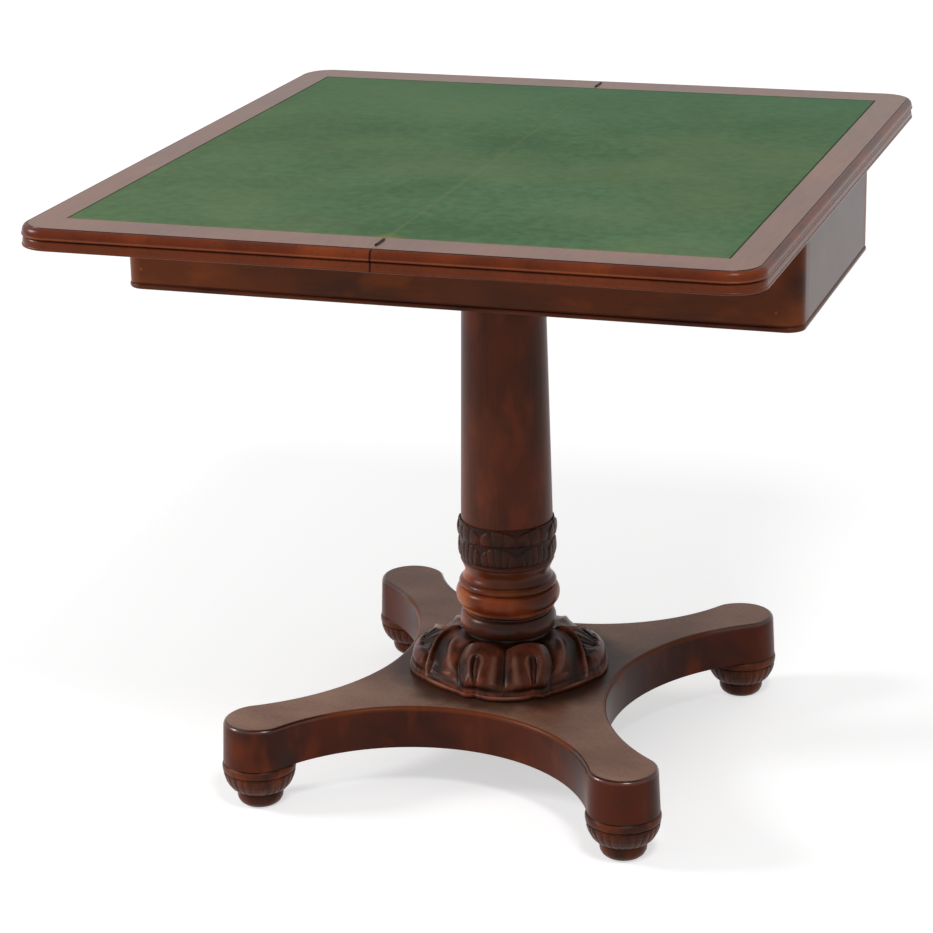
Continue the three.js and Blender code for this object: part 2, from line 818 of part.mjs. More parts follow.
function columnFoot() {
  const at = (share) => columnFootBottom + columnFootHeight * share;
  const members = footMemberShares;
  const swell = (lineRadius, proudRadius, from, to) => (
    halfRound(lineRadius, proudRadius, at(from), at(to), swellSteps)
  );
  const tenonBottom = platformBottom + boltRecessDepth + fitGap;
  const outside = [
    [tenonRadius, tenonBottom],
    [tenonRadius, columnFootBottom],
    [columnFootRingRadius - arrisRadius, columnFootBottom],
    ...swell(columnFootWaistRadius, columnFootRingRadius, members.ringBottom, members.ringTop),
    [columnFootWaistRadius, at(members.waist)],
    [columnFootBeadRadius, (at(members.waist) + at(members.beadTop)) / 2],
    [columnFootBeadRadius, at(members.beadTop)],
    ...swell(columnFootQuirkRadius, columnFootTorusRadius, members.torusBottom, members.torusTop),
    [columnFootOvoloRadius, at(members.torusTop) + fitGap],
    [columnFootFilletRadius, at(members.ovoloTop)],
    [columnFootFilletRadius, at(members.filletTop)],
    [columnFootNeckRadius, at(members.neck)],
    [leafCuffNeckRadius, columnFootTop],
  ];
  const socket = bar(tenonBoreRadius, shaftTenonBottom - fitGap, columnFootTop + overrun, turnedSides);
  return cutFrom(turned(bored(boltBoreRadius, outside), turnedSides), [socket]);
}
addPiece('column_foot', columnFoot(), finishes.polishedRed);

// Radius and height shares up the dome of the collar, outside the rim.
const domeShares = [
  [1, 0],
  [1, 0.12],
  [0.965, 0.16],
  [0.97, 0.3],
  [0.88, 0.6],
  [0.74, 0.84],
  [0.6, 0.97],
  [0.5, 1],
];

function petalCollar() {
  const turn = THREE.MathUtils.degToRad(collarTurnDegrees);
  const rows = domeShares.length + 2;
  const columns = collarPetals * collarStepsPerPetal;
  return ringGrid(columns, rows, (column, row) => {
    const angle = 2 * Math.PI * column / columns;
    let radius = tenonBoreRadius;
    let height = row === 0 ? collarBottom : collarTop;
    if (row > 0 && row <= domeShares.length) {
      const [outShare, upShare] = domeShares[row - 1];
      const petal = Math.abs(Math.sin(angle * collarPetals / 2));
      const cleft = collarPetalDepth * (1 - petal) * Math.sin(Math.PI * Math.min(1, upShare + 1 / 4));
      radius = collarRadius * outShare - cleft;
      height = collarBottom + collarHeight * upShare;
    }
    return [radius * Math.cos(angle + turn), radius * Math.sin(angle + turn), height];
  });
}
addPiece('petal_collar', petalCollar(), finishes.polishedRed, stand);

// Bolt: an iron bolt from the bearer down to a washer and nut under the platform
const recessTop = platformBottom + boltRecessDepth;
const boltWasherTop = recessTop - fitGap;
const boltWasherBottom = boltWasherTop - boltWasherThickness;
const boltNutTop = boltWasherBottom - fitGap;
const boltNutBottom = boltNutTop - boltNutThickness;
const boltHeadBottom = bearerTop + fitGap;

const boltStem = bar(boltRadius, boltNutBottom - boltEndDrop, boltHeadBottom + boltHeadThickness, smallSides);
const boltHead = bar(boltHeadRadius, boltHeadBottom, boltHeadBottom + boltHeadThickness, hexSides);
addPiece('tie_bolt', joined([boltStem, boltHead]), finishes.iron);

function boltRing(radius, bottom, top, sides) {
  const bore = bar(boltBoreRadius, bottom - overrun, top + overrun, smallSides);
  return cutFrom(bar(radius, bottom, top, sides), [bore]);
}
const boltWasher = boltRing(boltWasherRadius, boltWasherBottom, boltWasherTop, footSides);
const boltNut = boltRing(boltNutRadius, boltNutBottom, boltNutTop, hexSides);
addPiece('tie_bolt_washer', boltWasher, finishes.iron);
addPiece('tie_bolt_nut', boltNut, finishes.iron);

// Platform: four concave sides between round pads, with a rolled top arris
const footX = footSpanX / 2;
const footY = footSpanY / 2;

// Points of a concave side: an arc that leaves one pad smoothly, and runs through the waist to the next.
// It meets each pad just inside its rim, so that the two bodies join cleanly.
function concaveSide(padAcross, padOut, waistOut, quarterTurns) {
  const drop = padOut - waistOut;
  const meeting = padRadius - overrun;
  const radius = (padAcross ** 2 + drop ** 2 - meeting ** 2) / (2 * (meeting + drop));
  const half = Math.atan2(padAcross, radius - drop);
  const points = [];
  for (let step = 0; step <= armSteps; step += 1) {
    const angle = half * (2 * step / armSteps - 1);
    const point = new THREE.Vector2(radius * Math.sin(angle), -waistOut - radius * (1 - Math.cos(angle)));
    points.push(point.rotateAround(new THREE.Vector2(), quarterTurns * Math.PI / 2));
  }
  return points;
}

function platform() {
  const longSides = [footX, footY, platformWaistY / 2];
  const shortSides = [footY, footX, platformWaistX / 2];
  const sides = [longSides, shortSides, longSides, shortSides];
  const corners = [[footX, -footY], [footX, footY], [-footX, footY], [-footX, -footY]];
  const points = sides.flatMap((side, index) => (
    [...concaveSide(...side, index), new THREE.Vector2(...corners[index])]
  ));
  const slab = new THREE.ExtrudeGeometry(new THREE.Shape(points), {
    depth: platformThickness,
    bevelThickness: arrisRadius,
    bevelSize: arrisRadius,
    bevelOffset: -arrisRadius,
    bevelSegments: arrisSteps,
  });
  slab.translate(0, 0, platformBottom - arrisRadius);
  const pads = corners.map(([x, y]) => {
    const pad = turned([
      [0, platformBottom],
      [padRadius, platformBottom],
      [padRadius, platformTop - arrisRadius],
      [padRadius - arrisRadius * (1 - Math.SQRT1_2), platformTop - arrisRadius * (1 - Math.SQRT1_2)],
      [padRadius - arrisRadius, platformTop],
      [0, platformTop],
    ], turnedSides);
    pad.translate(x, y, 0);
    return pad;
  });
  const under = block(
    [-footSpanX, -footSpanY, platformBottom - 2 * arrisRadius - overrun],
    [footSpanX, footSpanY, platformBottom],
  );
  const holeTop = platformBottom + dowelLength + fitGap;
  const dowelHoles = corners.map(([x, y]) => (
    bar(dowelRadius + fitGap, platformBottom - overrun, holeTop, footSides, x, y)
  ));
  const centreBore = bar(tenonBoreRadius, platformBottom - overrun, platformTop + overrun, turnedSides);
  const washerRecess = bar(boltWasherRadius + fitGap, platformBottom - overrun, recessTop, turnedSides);
  return cutFrom(joined([cutFrom(slab, [under]), ...pads]), [...dowelHoles, centreBore, washerRecess]);
}
addPiece('platform', platform(), finishes.polishedDark, stand);

// Feet: a toe, a bowl carved with leaves and a bead, with a dowel up into the platform.
// The floor's share is of the toe's radius, and the others are of the foot's height.
const bunFootShares = {
  toeFloor: 0.74, toeMiddle: 0.18, toeTop: 0.31, neck: 0.335, bowlMiddle: 0.45, bowlTop: 0.74, beadTop: 0.96,
};

function bunFoot() {
  const at = (share) => footHeight * share;
  const members = bunFootShares;
  return turned([
    [0, 0],
    [footToeRadius * members.toeFloor, 0],
    [footToeRadius, at(members.toeMiddle)],
    [footToeRadius, at(members.toeTop)],
    [footNeckRadius, at(members.neck)],
    [(footNeckRadius + footBeadRadius) / 2, at(members.bowlMiddle)],
    [footBeadRadius, at(members.bowlTop)],
    [footBeadRadius, at(members.beadTop)],
    [padRadius, at(members.beadTop)],
    [padRadius, footHeight],
    [dowelRadius, footHeight],
    [dowelRadius, footHeight + dowelLength],
    [0, footHeight + dowelLength],
  ], footSides);
}

const feet = [
  ['front_left', -footX, -footY],
  ['front_right', footX, -footY],
  ['back_right', footX, footY],
  ['back_left', -footX, footY],
];
for (const [place, x, y] of feet) {
  const foot = bunFoot();
  foot.translate(x, y, 0);
  addPiece(`${place}_foot`, foot, finishes.polishedRed, stand);
}

export default table;
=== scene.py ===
import math

import bmesh
import bpy
from mathutils import Matrix, Vector


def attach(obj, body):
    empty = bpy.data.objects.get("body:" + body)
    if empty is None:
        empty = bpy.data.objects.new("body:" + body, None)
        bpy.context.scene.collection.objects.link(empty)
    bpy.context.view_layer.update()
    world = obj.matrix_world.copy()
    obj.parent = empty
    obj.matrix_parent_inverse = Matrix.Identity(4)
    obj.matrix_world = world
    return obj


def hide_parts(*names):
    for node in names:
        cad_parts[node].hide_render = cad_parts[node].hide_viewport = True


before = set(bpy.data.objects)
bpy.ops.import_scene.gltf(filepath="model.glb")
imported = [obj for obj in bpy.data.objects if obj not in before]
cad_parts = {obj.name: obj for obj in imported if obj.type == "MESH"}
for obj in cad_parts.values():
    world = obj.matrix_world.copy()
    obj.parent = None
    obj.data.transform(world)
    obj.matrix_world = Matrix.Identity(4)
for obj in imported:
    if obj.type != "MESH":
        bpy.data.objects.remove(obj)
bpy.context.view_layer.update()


# The camera stands where the photographer stood, front right of the table and a little above its top,
# looking down at it.
camera_place = (0.9915, -3.1617, 1.4774)
camera_turn = math.radians(18.23)
camera_dip = math.radians(18.612)
camera_roll = math.radians(-1.15)
camera_lens = 112.88
camera_sensor = 36


def added(name, data):
    """Makes an object of some data, and adds it to the scene."""
    thing = bpy.data.objects.new(name, data)
    bpy.context.scene.collection.objects.link(thing)
    return thing


camera_data = bpy.data.cameras.new("photo_camera")
camera_data.lens = camera_lens
camera_data.sensor_width = camera_sensor
camera = added("photo_camera", camera_data)
camera.matrix_world = (
    Matrix.Translation(camera_place)
    @ Matrix.Rotation(camera_turn, 4, "Z")
    @ Matrix.Rotation(math.pi / 2 - camera_dip, 4, "X")
    @ Matrix.Rotation(camera_roll, 4, "Z")
)
bpy.context.scene.camera = camera


# Feet: four bun feet turned in mahogany, with a small toe, a bowl carved with upright leaves and a bead,
# each held in the platform by its own dowel.
mm = 0.001
one_point = 0.01 * mm
stand_turn = math.radians(-2.7)
foot_places = {
    "front_left_foot": (-225, -248),
    "front_right_foot": (225, -248),
    "back_right_foot": (225, 248),
    "back_left_foot": (-225, 248),
}
foot_leaves = 9
foot_leaves_from = 18.6
foot_leaves_height = 24.8
foot_leaf_depth = 0.9
# How dark the cuts between the bowl's leaves are: grimy, and in painted shade.
foot_cut_dark = 0.32
foot_steps = 216
toe_profile = [
    (0, 0), (17, 0), (21, 1.2), (24.4, 4), (26.6, 8), (27.3, 12), (27, 15.5),
    (26.4, 17.5, 0.2), (25.8, 18.2, 0.6),
]
bowl_shape = [(29, 18.8), (33.4, 21.6), (36.8, 25.6), (39.8, 31), (41.7, 36.5), (42.6, 41), (42.8, 43.3)]
bowl_steps = 5
foot_bead = (42.2, 43.6, 44.4, 53)
foot_quirk = [(41.4, 53.6, 0.9), (41, 54.7, 0.9), (0, 54.7)]


class Wire:
    """An output of a material's node. Sums, differences and products with it add Math nodes."""

    def __init__(self, finish, socket):
        self.finish = finish
        self.socket = socket

    def math(self, operation, first, second):
        return self.finish.node("Math", {0: first, 1: second}, operation=operation)

    def __add__(self, other):
        return self.math("ADD", self, other)

    def __sub__(self, other):
        return self.math("SUBTRACT", self, other)

    def __rsub__(self, other):
        return self.math("SUBTRACT", other, self)

    def __mul__(self, other):
        return self.math("MULTIPLY", self, other)

    __radd__ = __add__
    __rmul__ = __mul__


class Finish:
    """A material for one kind of surface, put together node by node, its colour layer by layer."""

    def __init__(self, name, family=bpy.data.materials):
        self.owner = family.new(name)
        self.owner.use_nodes = True
        self.tree = self.owner.node_tree
        self.tree.nodes.clear()
        self.colour = None

    def node(self, kind, inputs, output=0, **settings):
        """Adds a node. Its settings are set first, then the values or wires of its sockets."""
        node = self.tree.nodes.new("ShaderNode" + kind)
        for setting, value in settings.items():
            if setting == "stops":
                elements = node.color_ramp.elements
                while len(elements) < len(value):
                    elements.new(0.5)
                for element, (position, tone) in zip(elements, value):
                    element.position = position
                    element.color = tone
            else:
                setattr(node, setting, value)
        for socket, value in inputs.items():
            if isinstance(value, Wire):
                self.tree.links.new(value.socket, node.inputs[socket])
            else:
                node.inputs[socket].default_value = value
        return Wire(self, node.outputs[output]) if node.outputs else None

    def place(self, grain="", across=1):
        """The piece's own coordinates, squeezed by a factor across the axis that the grain follows."""
        own = self.node("TexCoord", {}, "Object")
        squeeze = tuple(1 if axis == grain else across for axis in "XYZ")
        return self.node("Mapping", {"Vector": own, "Scale": squeeze})

    def axis(self, letter):
        """Where a point lies along one axis."""
        return self.node("SeparateXYZ", {"Vector": self.place()}, letter)

    def off(self, letter):
        """How far a point lies along one axis, to either side."""
        return self.node("Math", {0: self.axis(letter)}, operation="ABSOLUTE")

    def distance(self, point=(0, 0, 0)):
        """How far a place is from a point given in millimetres."""
        centre = tuple(value * mm for value in point)
        return self.node("VectorMath", {0: self.place(), 1: centre}, "Value", operation="DISTANCE")

    def near(self, point, reach):
        """1 at a point, fading unevenly to 0 at its reach, both in millimetres."""
        wander = self.noise(28) * (0.9 * reach * mm)
        return 1 - self.band(self.distance(point) + wander, 0.3 * reach * mm, 1.4 * reach * mm)

    def noise(self, scale, grain="", across=1, detail=2, distortion=0):
        return self.node("TexNoise", {
            "Vector": self.place(grain, across), "Scale": scale, "Detail": detail,
            "Distortion": distortion,
        })

    def ramp(self, amount, *stops):
        """A tone for each amount, read off stops of an amount and a tone."""
        return self.node("ValToRGB", {"Fac": amount}, stops=stops)

    def band(self, amount, low, high):
        """0 below low, 1 above high, and a smooth step between them."""
        return self.node("MapRange", {
            "Value": amount, "From Min": low, "From Max": high,
        }, interpolation_type="SMOOTHSTEP")

    def mix(self, amount, under, over):
        return self.node("Mix", {0: amount, 6: under, 7: over}, 2, data_type="RGBA")

    def lay(self, amount, tone):
        """Lays a tone over the colour so far."""
        self.colour = self.mix(amount, self.colour, tone)

    def lay_marks(self, marks):
        """Lays marks, each with its point, its reach, its tone and its strength."""
        for point, reach, tone, strength in marks:
            self.lay(self.near(point, reach) * strength, tone)

    def lay_dirt_shade_and_highlight(self):
        """Lays grimy, painted shade in the hollows of a carving, where the attribute is above 0, and a
        painted highlight where it is below.
        """
        cavity = self.node("Attribute", {}, "Fac", attribute_name="cavity")
        self.lay(cavity, dirt_and_shade)
        self.lay(cavity * -1, painted_highlight)

    def surface(self, values, height=None, strength=0, depth=mm):
        """Makes the shader from the colour and other values, with bumps as high as a wire says."""
        if height:
            bumps = {"Strength": strength, "Distance": depth, "Height": height}
            values["Normal"] = self.node("Bump", bumps)
        shader = self.node("BsdfPrincipled", {"Base Color": self.colour, **values})
        self.node("OutputMaterial", {"Surface": shader})
        return self.owner


def shade(*screen):
    """A tone, from its red, green and blue as a screen shows them, 0 to 255."""
    return (*((level / 255) ** 2.2 for level in screen), 1)


# Tones for carvings: grimy hollows with painted shade, and painted highlights on the crests.
dirt_and_shade = shade(27, 20, 15)
painted_highlight = shade(150, 106, 88)


def mahogany(name, tones, grain, figure, carved=False, marks=(), gloss=0.27, polish=1.23):
    """French polished mahogany: its dark, body and bright tones, and marks of a tone at a point."""
    finish = Finish(name)
    dark, body, bright = tones
    cloud = finish.noise(figure, grain, 2.2)
    glow = finish.noise(figure * 1.9, grain, 1.8)
    lines = finish.noise(14, grain, 22, detail=3)
    pores = finish.noise(160, grain, 5)
    finish.colour = finish.ramp(cloud * 0.8 + lines * 0.2, (0.36, dark), (0.54, body))
    finish.lay(finish.band(glow, 0.5, 0.72) * 0.75, bright)
    finish.lay_marks(marks)
    finish.lay(finish.band(pores, 0.48, 0.75) * 0.22, dark)
    if carved:
        finish.lay_dirt_shade_and_highlight()
    return finish.surface({"Roughness": gloss + cloud * 0.14, "IOR": polish}, pores + lines, 0.05)


foot_tones = (shade(66, 34, 22), shade(92, 46, 28), shade(122, 62, 34))
carved_mahogany = mahogany("carved_foot_mahogany", foot_tones, "Z", 16, carved=True)


def swell(line_radius, proud_radius, bottom, top, steps=10):
    """Points up a half round that stands out from a line, or is let into it."""
    points = []
    for step in range(steps + 1):
        angle = math.pi * (step / steps - 0.5)
        radius = line_radius + (proud_radius - line_radius) * math.cos(angle)
        points.append((radius, (bottom + top) / 2 + (top - bottom) / 2 * math.sin(angle)))
    return points


def turn_on_lathe(profile, steps):
    """A turned form about the Z axis, from its radius and height in millimetres going up, and how dark
    a groove is there, grimy and in painted shade."""
    form = bmesh.new()
    cavity = form.verts.layers.float.new("cavity")
    verts = []
    for radius, height, *dark in profile:
        verts.append(form.verts.new((radius * mm, 0, height * mm)))
        verts[-1][cavity] = sum(dark)
    edges = [form.edges.new(pair) for pair in zip(verts, verts[1:])]
    bmesh.ops.spin(
        form, geom=verts + edges, cent=(0, 0, 0), axis=(0, 0, 1), angle=math.tau,
        steps=steps, use_merge=True, use_duplicate=False,
    )
    bmesh.ops.remove_doubles(form, verts=form.verts, dist=one_point)
    bmesh.ops.recalc_face_normals(form, faces=form.faces)
    return form


def carve(form, relief):
    """Carves a turned form. From a point's angle, radius and height, relief says how proud of the surface
    it stands, how far it moves out from the axis, and how dark it is, grimy and in painted shade, or,
    below 0, how bright its painted highlight is."""
    form.normal_update()
    cavity = form.verts.layers.float["cavity"]
    for vert in form.verts:
        out = Vector((vert.co.x, vert.co.y, 0))
        radius = out.length
        if radius > mm:
            proud, outward, dark = relief(math.atan2(out.y, out.x), radius / mm, vert.co.z / mm)
            vert.co += vert.normal * (proud * mm) + out / radius * (outward * mm)
            if abs(dark) > vert[cavity]:
                vert[cavity] = dark


def swing(form, angle):
    """Turns a form about the column's axis."""
    bmesh.ops.rotate(form, verts=form.verts, matrix=Matrix.Rotation(angle, 3, "Z"))


def solid(name, form):
    """Makes an object of a form, and clears the form away."""
    mesh = bpy.data.meshes.new(name)
    form.to_mesh(mesh)
    form.free()
    return added(name, mesh)


def finished(name, form, finish, body, nodes, crease=38):
    """Makes the form a piece of the table: smooth, but for creases sharper than the given degrees."""
    piece = solid(name, form)
    piece.data.shade_smooth()
    piece.data.set_sharp_from_angle(angle=math.radians(crease))
    piece.data.materials.append(finish)
    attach(piece, body)
    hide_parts(*nodes)
    return piece


def smooth_step(low, high, value):
    share = min(1, max(0, (value - low) / (high - low)))
    return share * share * (3 - 2 * share)


def finer(points, steps):
    """Divides each length between the points of a profile into steps."""
    shares = [step / steps for step in range(steps)]
    return [
        tuple(a + (b - a) * share for a, b in zip(low, high))
        for low, high in zip(points, points[1:]) for share in shares
    ] + [points[-1]]


def lobe(across, count):
    """The round back of one of a row of lobes that share a width of 1: 1 on its crest, 0 in the cuts."""
    off = abs((across * count + 0.5) % 1 - 0.5) * 2
    return math.sqrt(max(0, 1 - off * off))


def foot_relief(angle, radius, height):
    """Upright leaves of three lobes round the bowl, between the neck and the bead."""
    rise = (height - foot_leaves_from) / foot_leaves_height
    if not 0 < rise < 1:
        return 0, 0, 0
    across = (angle * foot_leaves / math.tau) % 1 - 0.5
    back = lobe(across, 3)
    tip = 0.8 + 0.2 * back - 0.7 * across * across
    cut = 1 - back * smooth_step(0, 0.07, tip - rise)
    cut *= smooth_step(0, 0.15, rise) * smooth_step(1, 0.96, rise)
    return -foot_leaf_depth * cut, 0, foot_cut_dark * cut * cut


foot_profile = [
    *toe_profile, *finer(bowl_shape, bowl_steps), (41.8, 43.8, 0.35), *swell(*foot_bead), *foot_quirk]
for place, (x, y) in foot_places.items():
    foot = turn_on_lathe(foot_profile, foot_steps)
    carve(foot, foot_relief)
    bmesh.ops.translate(foot, verts=foot.verts, vec=(x * mm, y * mm, 0))
    swing(foot, stand_turn)
    finished("turned_" + place, foot, carved_mahogany, "stand", [place])


# Platform: one slab of mahogany with four hollow sides that sweep into round pads over the feet, and a
# rounded arris all round its top.
platform_bottom = 55 * mm
platform_top = 106.7 * mm
pad_centre = Vector((225 * mm, -248 * mm))
pad_radius = 41.5 * mm
pad_taper = 2.4 * mm
pad_core = 30 * mm
waist_front = 152.5 * mm
waist_side = 138 * mm
arris_radius = 5.5 * mm
# Marks of a tone. The dark ones on the front left pad's right side and on the right hollow's side are
# painted shade.
platform_marks_and_shade = [
    ((-126, -196, 75), 50, shade(60, 40, 31), 0.7), ((-200, -250, 62), 26, shade(54, 42, 34), 0.7),
    ((-244, -280, 80), 26, shade(116, 52, 30), 0.7), ((60, -175, 80), 40, shade(78, 36, 24), 0.6),
    ((186, -256, 84), 26, shade(128, 58, 28), 0.8), ((222, -290, 84), 24, shade(66, 42, 32), 0.7),
    ((150, -205, 80), 30, shade(116, 54, 34), 0.4), ((158, -14, 80), 84, shade(46, 34, 30), 0.7),
]


def hollow(across, out, waist):
    """The radius of a hollow side that leaves its pads smoothly, and how far out its centre lies."""
    drop = out - waist
    radius = (across ** 2 + drop ** 2 - pad_radius ** 2) / (2 * (pad_radius + drop))
    return radius, waist + radius


def arc(centre, radius, start, end, steps):
    """Points of an arc from one point to another, the short way round a centre."""
    first = math.atan2(start.y - centre.y, start.x - centre.x)
    turn = math.atan2(end.y - centre.y, end.x - centre.x) - first
    turn = (turn + math.pi) % math.tau - math.pi
    angles = [first + turn * step / steps for step in range(steps + 1)]
    return [centre + Vector((math.cos(angle), math.sin(angle))) * radius for angle in angles]


def touching(centre, radius, towards):
    """The point of a circle that lies towards another point."""
    return centre + (towards - centre).normalized() * radius


front_radius, front_out = hollow(pad_centre.x, -pad_centre.y, waist_front)
side_radius, side_out = hollow(-pad_centre.y, pad_centre.x, waist_side)
front_centre = Vector((0, -front_out))
side_centre = Vector((side_out, 0))
front_join = touching(pad_centre, pad_radius, front_centre)
side_join = touching(pad_centre, pad_radius, side_centre)
pad_tip = touching(pad_centre, pad_radius, pad_centre * 2)
outline = [
    Vector((0, 0)),
    *arc(front_centre, front_radius, Vector((0, -waist_front)), front_join, 28),
    *arc(pad_centre, pad_radius, front_join, pad_tip, 20)[1:],
    *arc(pad_centre, pad_radius, pad_tip, side_join, 20)[1:],
    *arc(side_centre, side_radius, side_join, Vector((waist_side, 0)), 28)[1:],
]

platform = bmesh.new()
quarter = platform.faces.new([platform.verts.new((*point, platform_bottom)) for point in outline])
lifted = bmesh.ops.extrude_face_region(platform, geom=[quarter], use_keep_orig=True)["geom"]
lifted_verts = [item for item in lifted if isinstance(item, bmesh.types.BMVert)]
bmesh.ops.translate(platform, verts=lifted_verts, vec=(0, 0, platform_top - platform_bottom))
inner = [
    face for face in platform.faces
    if all(abs(vert.co.x) < one_point for vert in face.verts)
    or all(abs(vert.co.y) < one_point for vert in face.verts)
]
bmesh.ops.delete(platform, geom=inner, context="FACES")
arris = [
    edge for edge in platform.edges
    if all(vert.co.z > platform_top - one_point for vert in edge.verts)
    and len(edge.link_faces) == 2
]
bmesh.ops.bevel(
    platform, geom=arris, offset=arris_radius, segments=6, profile=0.5, affect="EDGES", material=-1)
for vert in platform.verts:
    outward = vert.co.xy - pad_centre
    if pad_core < outward.length < pad_radius + 0.1 * mm:
        share = smooth_step(-0.2, 0.5, outward.normalized().dot(pad_centre.normalized()))
        rise = (vert.co.z - platform_bottom) / (platform_top - platform_bottom)
        vert.co.xy += outward.normalized() * (share * pad_taper * (0.35 - rise))
for axis in "XY":
    bmesh.ops.mirror(
        platform, geom=platform.verts[:] + platform.edges[:] + platform.faces[:],
        axis=axis, merge_dist=one_point)
bmesh.ops.remove_doubles(platform, verts=platform.verts, dist=one_point)
bmesh.ops.recalc_face_normals(platform, faces=platform.faces)
swing(platform, stand_turn)


def platform_wood():
    """Red mahogany on the sides and dusty brown on top, paler there for a painted sky reflection. By the
    collar the top is grimy and in painted shade and shadow; the hollows' arris has a painted highlight,
    and the pads' top edges are dark.
    """
    finish = Finish("platform_mahogany")
    cloud = finish.noise(8, "X", 1.6)
    glow = finish.noise(13, "Z", 2.4)
    fine = finish.noise(260, "X", 2.5, detail=3)
    rise = finish.axis("Z")
    from_axis = finish.distance()
    on_pad = finish.band(from_axis, 0.275, 0.3)
    on_top = finish.band(rise, 0.1062, 0.1066)
    finish.colour = finish.ramp(cloud, (0.38, shade(64, 34, 25)), (0.54, shade(86, 41, 27)))
    finish.lay(finish.band(glow, 0.5, 0.75) * 0.55, shade(118, 54, 28))
    finish.lay_marks(platform_marks_and_shade)
    # A painted highlight on the hollows' arris, for the sky it reflects.
    painted_highlight_mask = finish.band(rise, 0.1, 0.1035) * (1 - on_pad)
    finish.lay(painted_highlight_mask * 0.4, shade(132, 70, 40))
    edge = finish.band(rise, 0.1048, 0.1056) * on_pad
    finish.lay(edge * 0.8, shade(38, 22, 17))
    side = finish.colour
    # The top: dusty, and paler for a painted reflection of the sky.
    finish.colour = finish.ramp(
        cloud * 0.6 + fine * 0.4,
        (0.36, shade(106, 74, 61)), (0.5, shade(127, 94, 78)), (0.64, shade(147, 114, 96)))
    finish.lay(finish.near((85, -124, 107), 46) * 0.6, shade(96, 44, 26))
    # Grimy and in painted shade by the collar.
    grime_and_shade = 1 - finish.band(from_axis + glow * 0.03, 0.178, 0.21)
    finish.lay(grime_and_shade * 0.85, shade(52, 32, 24))
    # A painted shadow under the collar's rim.
    rim_shadow = 1 - finish.band(from_axis, 0.122, 0.136)
    finish.lay(rim_shadow * 0.85, shade(26, 18, 14))
    finish.colour = finish.mix(on_top, side, finish.colour)
    finish.lay(finish.band(fine, 0.5, 0.75) * 0.2, shade(50, 30, 24))
    return finish.surface({
        "Roughness": 0.26 + cloud * 0.14,
        "IOR": 1.2,
        "Coat Weight": finish.band(rise, 0.1015, 0.104) * (1 - on_top) * on_pad * 0.7,
        "Coat Roughness": 0.2,
    }, fine, 0.05)


def keep_flats_flat(piece):
    """Lets the broad faces set the shading, so that only the rounded edges look round."""
    weighted = piece.modifiers.new("flat_faces", "WEIGHTED_NORMAL")
    weighted.weight = 100
    weighted.keep_sharp = True


keep_flats_flat(finished(
    "shaped_platform", platform, platform_wood(), "stand", ["platform"]))


# Petal collar: a ring of mahogany, carved to hide where the column meets the platform. Front and back
# have a pair of fluted lobes, the corners a dished petal with a rolled edge, the sides a leaf spray, and
# all end on a rim that runs straight between small knobs.
collar_bottom = 107
collar_rim_top = 113.4
collar_top = 153.5
collar_rise = 39.3
collar_inner_radius = 58
collar_outer_radius = 119
collar_rim_proud = 2
collar_bore_radius = 30
collar_facing = math.radians(-76)
collar_steps = 480
collar_rings = 80
lobe_rise = 7
flute_depth = 3.6
flute_halves = ((0.42, 1), (0.48, 4.6), (0.6, 5.8), (0.78, 4.2), (0.92, 2.2), (0.97, 1))
arch_rise = 5.2
arch_angles = (
    (0, 92.5), (0.13, 90), (0.22, 87.8), (0.3, 85.2), (0.39, 81.2), (0.45, 77.6), (0.5, 74.4),
    (0.57, 70.2), (0.64, 66.8), (0.71, 64), (0.78, 61.8), (0.85, 60.3), (0.92, 59.2), (1, 58.2),
    (1.2, 56),
)
rim_shifts = (
    (0, 2.5), (9, 1.4), (14, -1.5), (17.5, -4.6), (20, -2.2), (23, -0.6), (26, -2.6), (29, -5.2),
    (36, -6.6), (46, -7), (56, -6), (62, -4), (67, -1.6), (71, 0.2), (80, 0.6), (90, 0),
)


def between_points(points, place, ease=smooth_step):
    """Reads a value off a line drawn through points."""
    for (near, first), (far, second) in zip(points, points[1:]):
        if place <= far:
            return first + (second - first) * ease(near, far, place)
    return points[-1][1]


def straight(low, high, value):
    return (value - low) / (high - low)


def bump(value, middle, reach):
    """A round rise: 1 at its middle, fading out past its reach."""
    return math.exp(-((value - middle) / reach) ** 2)


def rim_relief(off, radius, height, shift):
    """The rim: painted shade where it sits on the platform, and a painted highlight in front and
    under the petals.
    """
    on_rim = smooth_step(collar_bore_radius, collar_outer_radius - 20, radius)
    painted_highlight_mask = bump(off, 3, 12) + bump(off, 48, 9)
    painted_highlight_mask *= smooth_step(collar_rim_top - 3, collar_rim_top - 1, height) * on_rim
    dark = 0.75 * smooth_step(collar_bottom + 1.6, collar_bottom, height)
    return 0, shift * on_rim, dark - 0.6 * painted_highlight_mask


def lobe_relief(off, u, degree, lobe_end, foot_dark):
    """A lobe with a flute let into it and a bar on each side. Gives how proud and how dark it is."""
    across = 2 * off / lobe_end - 1
    back = max(0, 1 - across * across) ** 0.7
    back *= max(0, min(1, (u - 0.1 * across * across) / 0.14)) ** 0.5
    from_flute = abs(off - 21.8 + 9 * (u - 0.48)) * degree / between_points(flute_halves, u, straight)
    open_here = smooth_step(0.42, 0.49, u) * smooth_step(0.97, 0.92, u)
    hollow_here = (smooth_step(1.1, 0.5, from_flute) - 0.45 * bump(from_flute, 0, 0.4)) * open_here
    bars = bump(off, 7.5, 2) * smooth_step(0.35, 0.5, u) * smooth_step(0.95, 0.85, u)
    bars += bump(across, 0.62, 0.13) * smooth_step(0.6, 0.4, u) * smooth_step(0.1, 0.22, u)
    bars += bump(from_flute, 1.5, 0.35) * open_here
    proud = lobe_rise * back - 1.2 * (1 - back) - flute_depth * hollow_here + 0.6 * bars
    # Dark is grimy, painted shade in the cleft and flute; the bars get a painted highlight.
    dark = max(0.95 * (1 - back ** 0.6), 0.85 * bump(from_flute, 0.65, 0.4) * open_here, foot_dark)
    return proud, dark if dark > 0.25 else -0.45 * bars


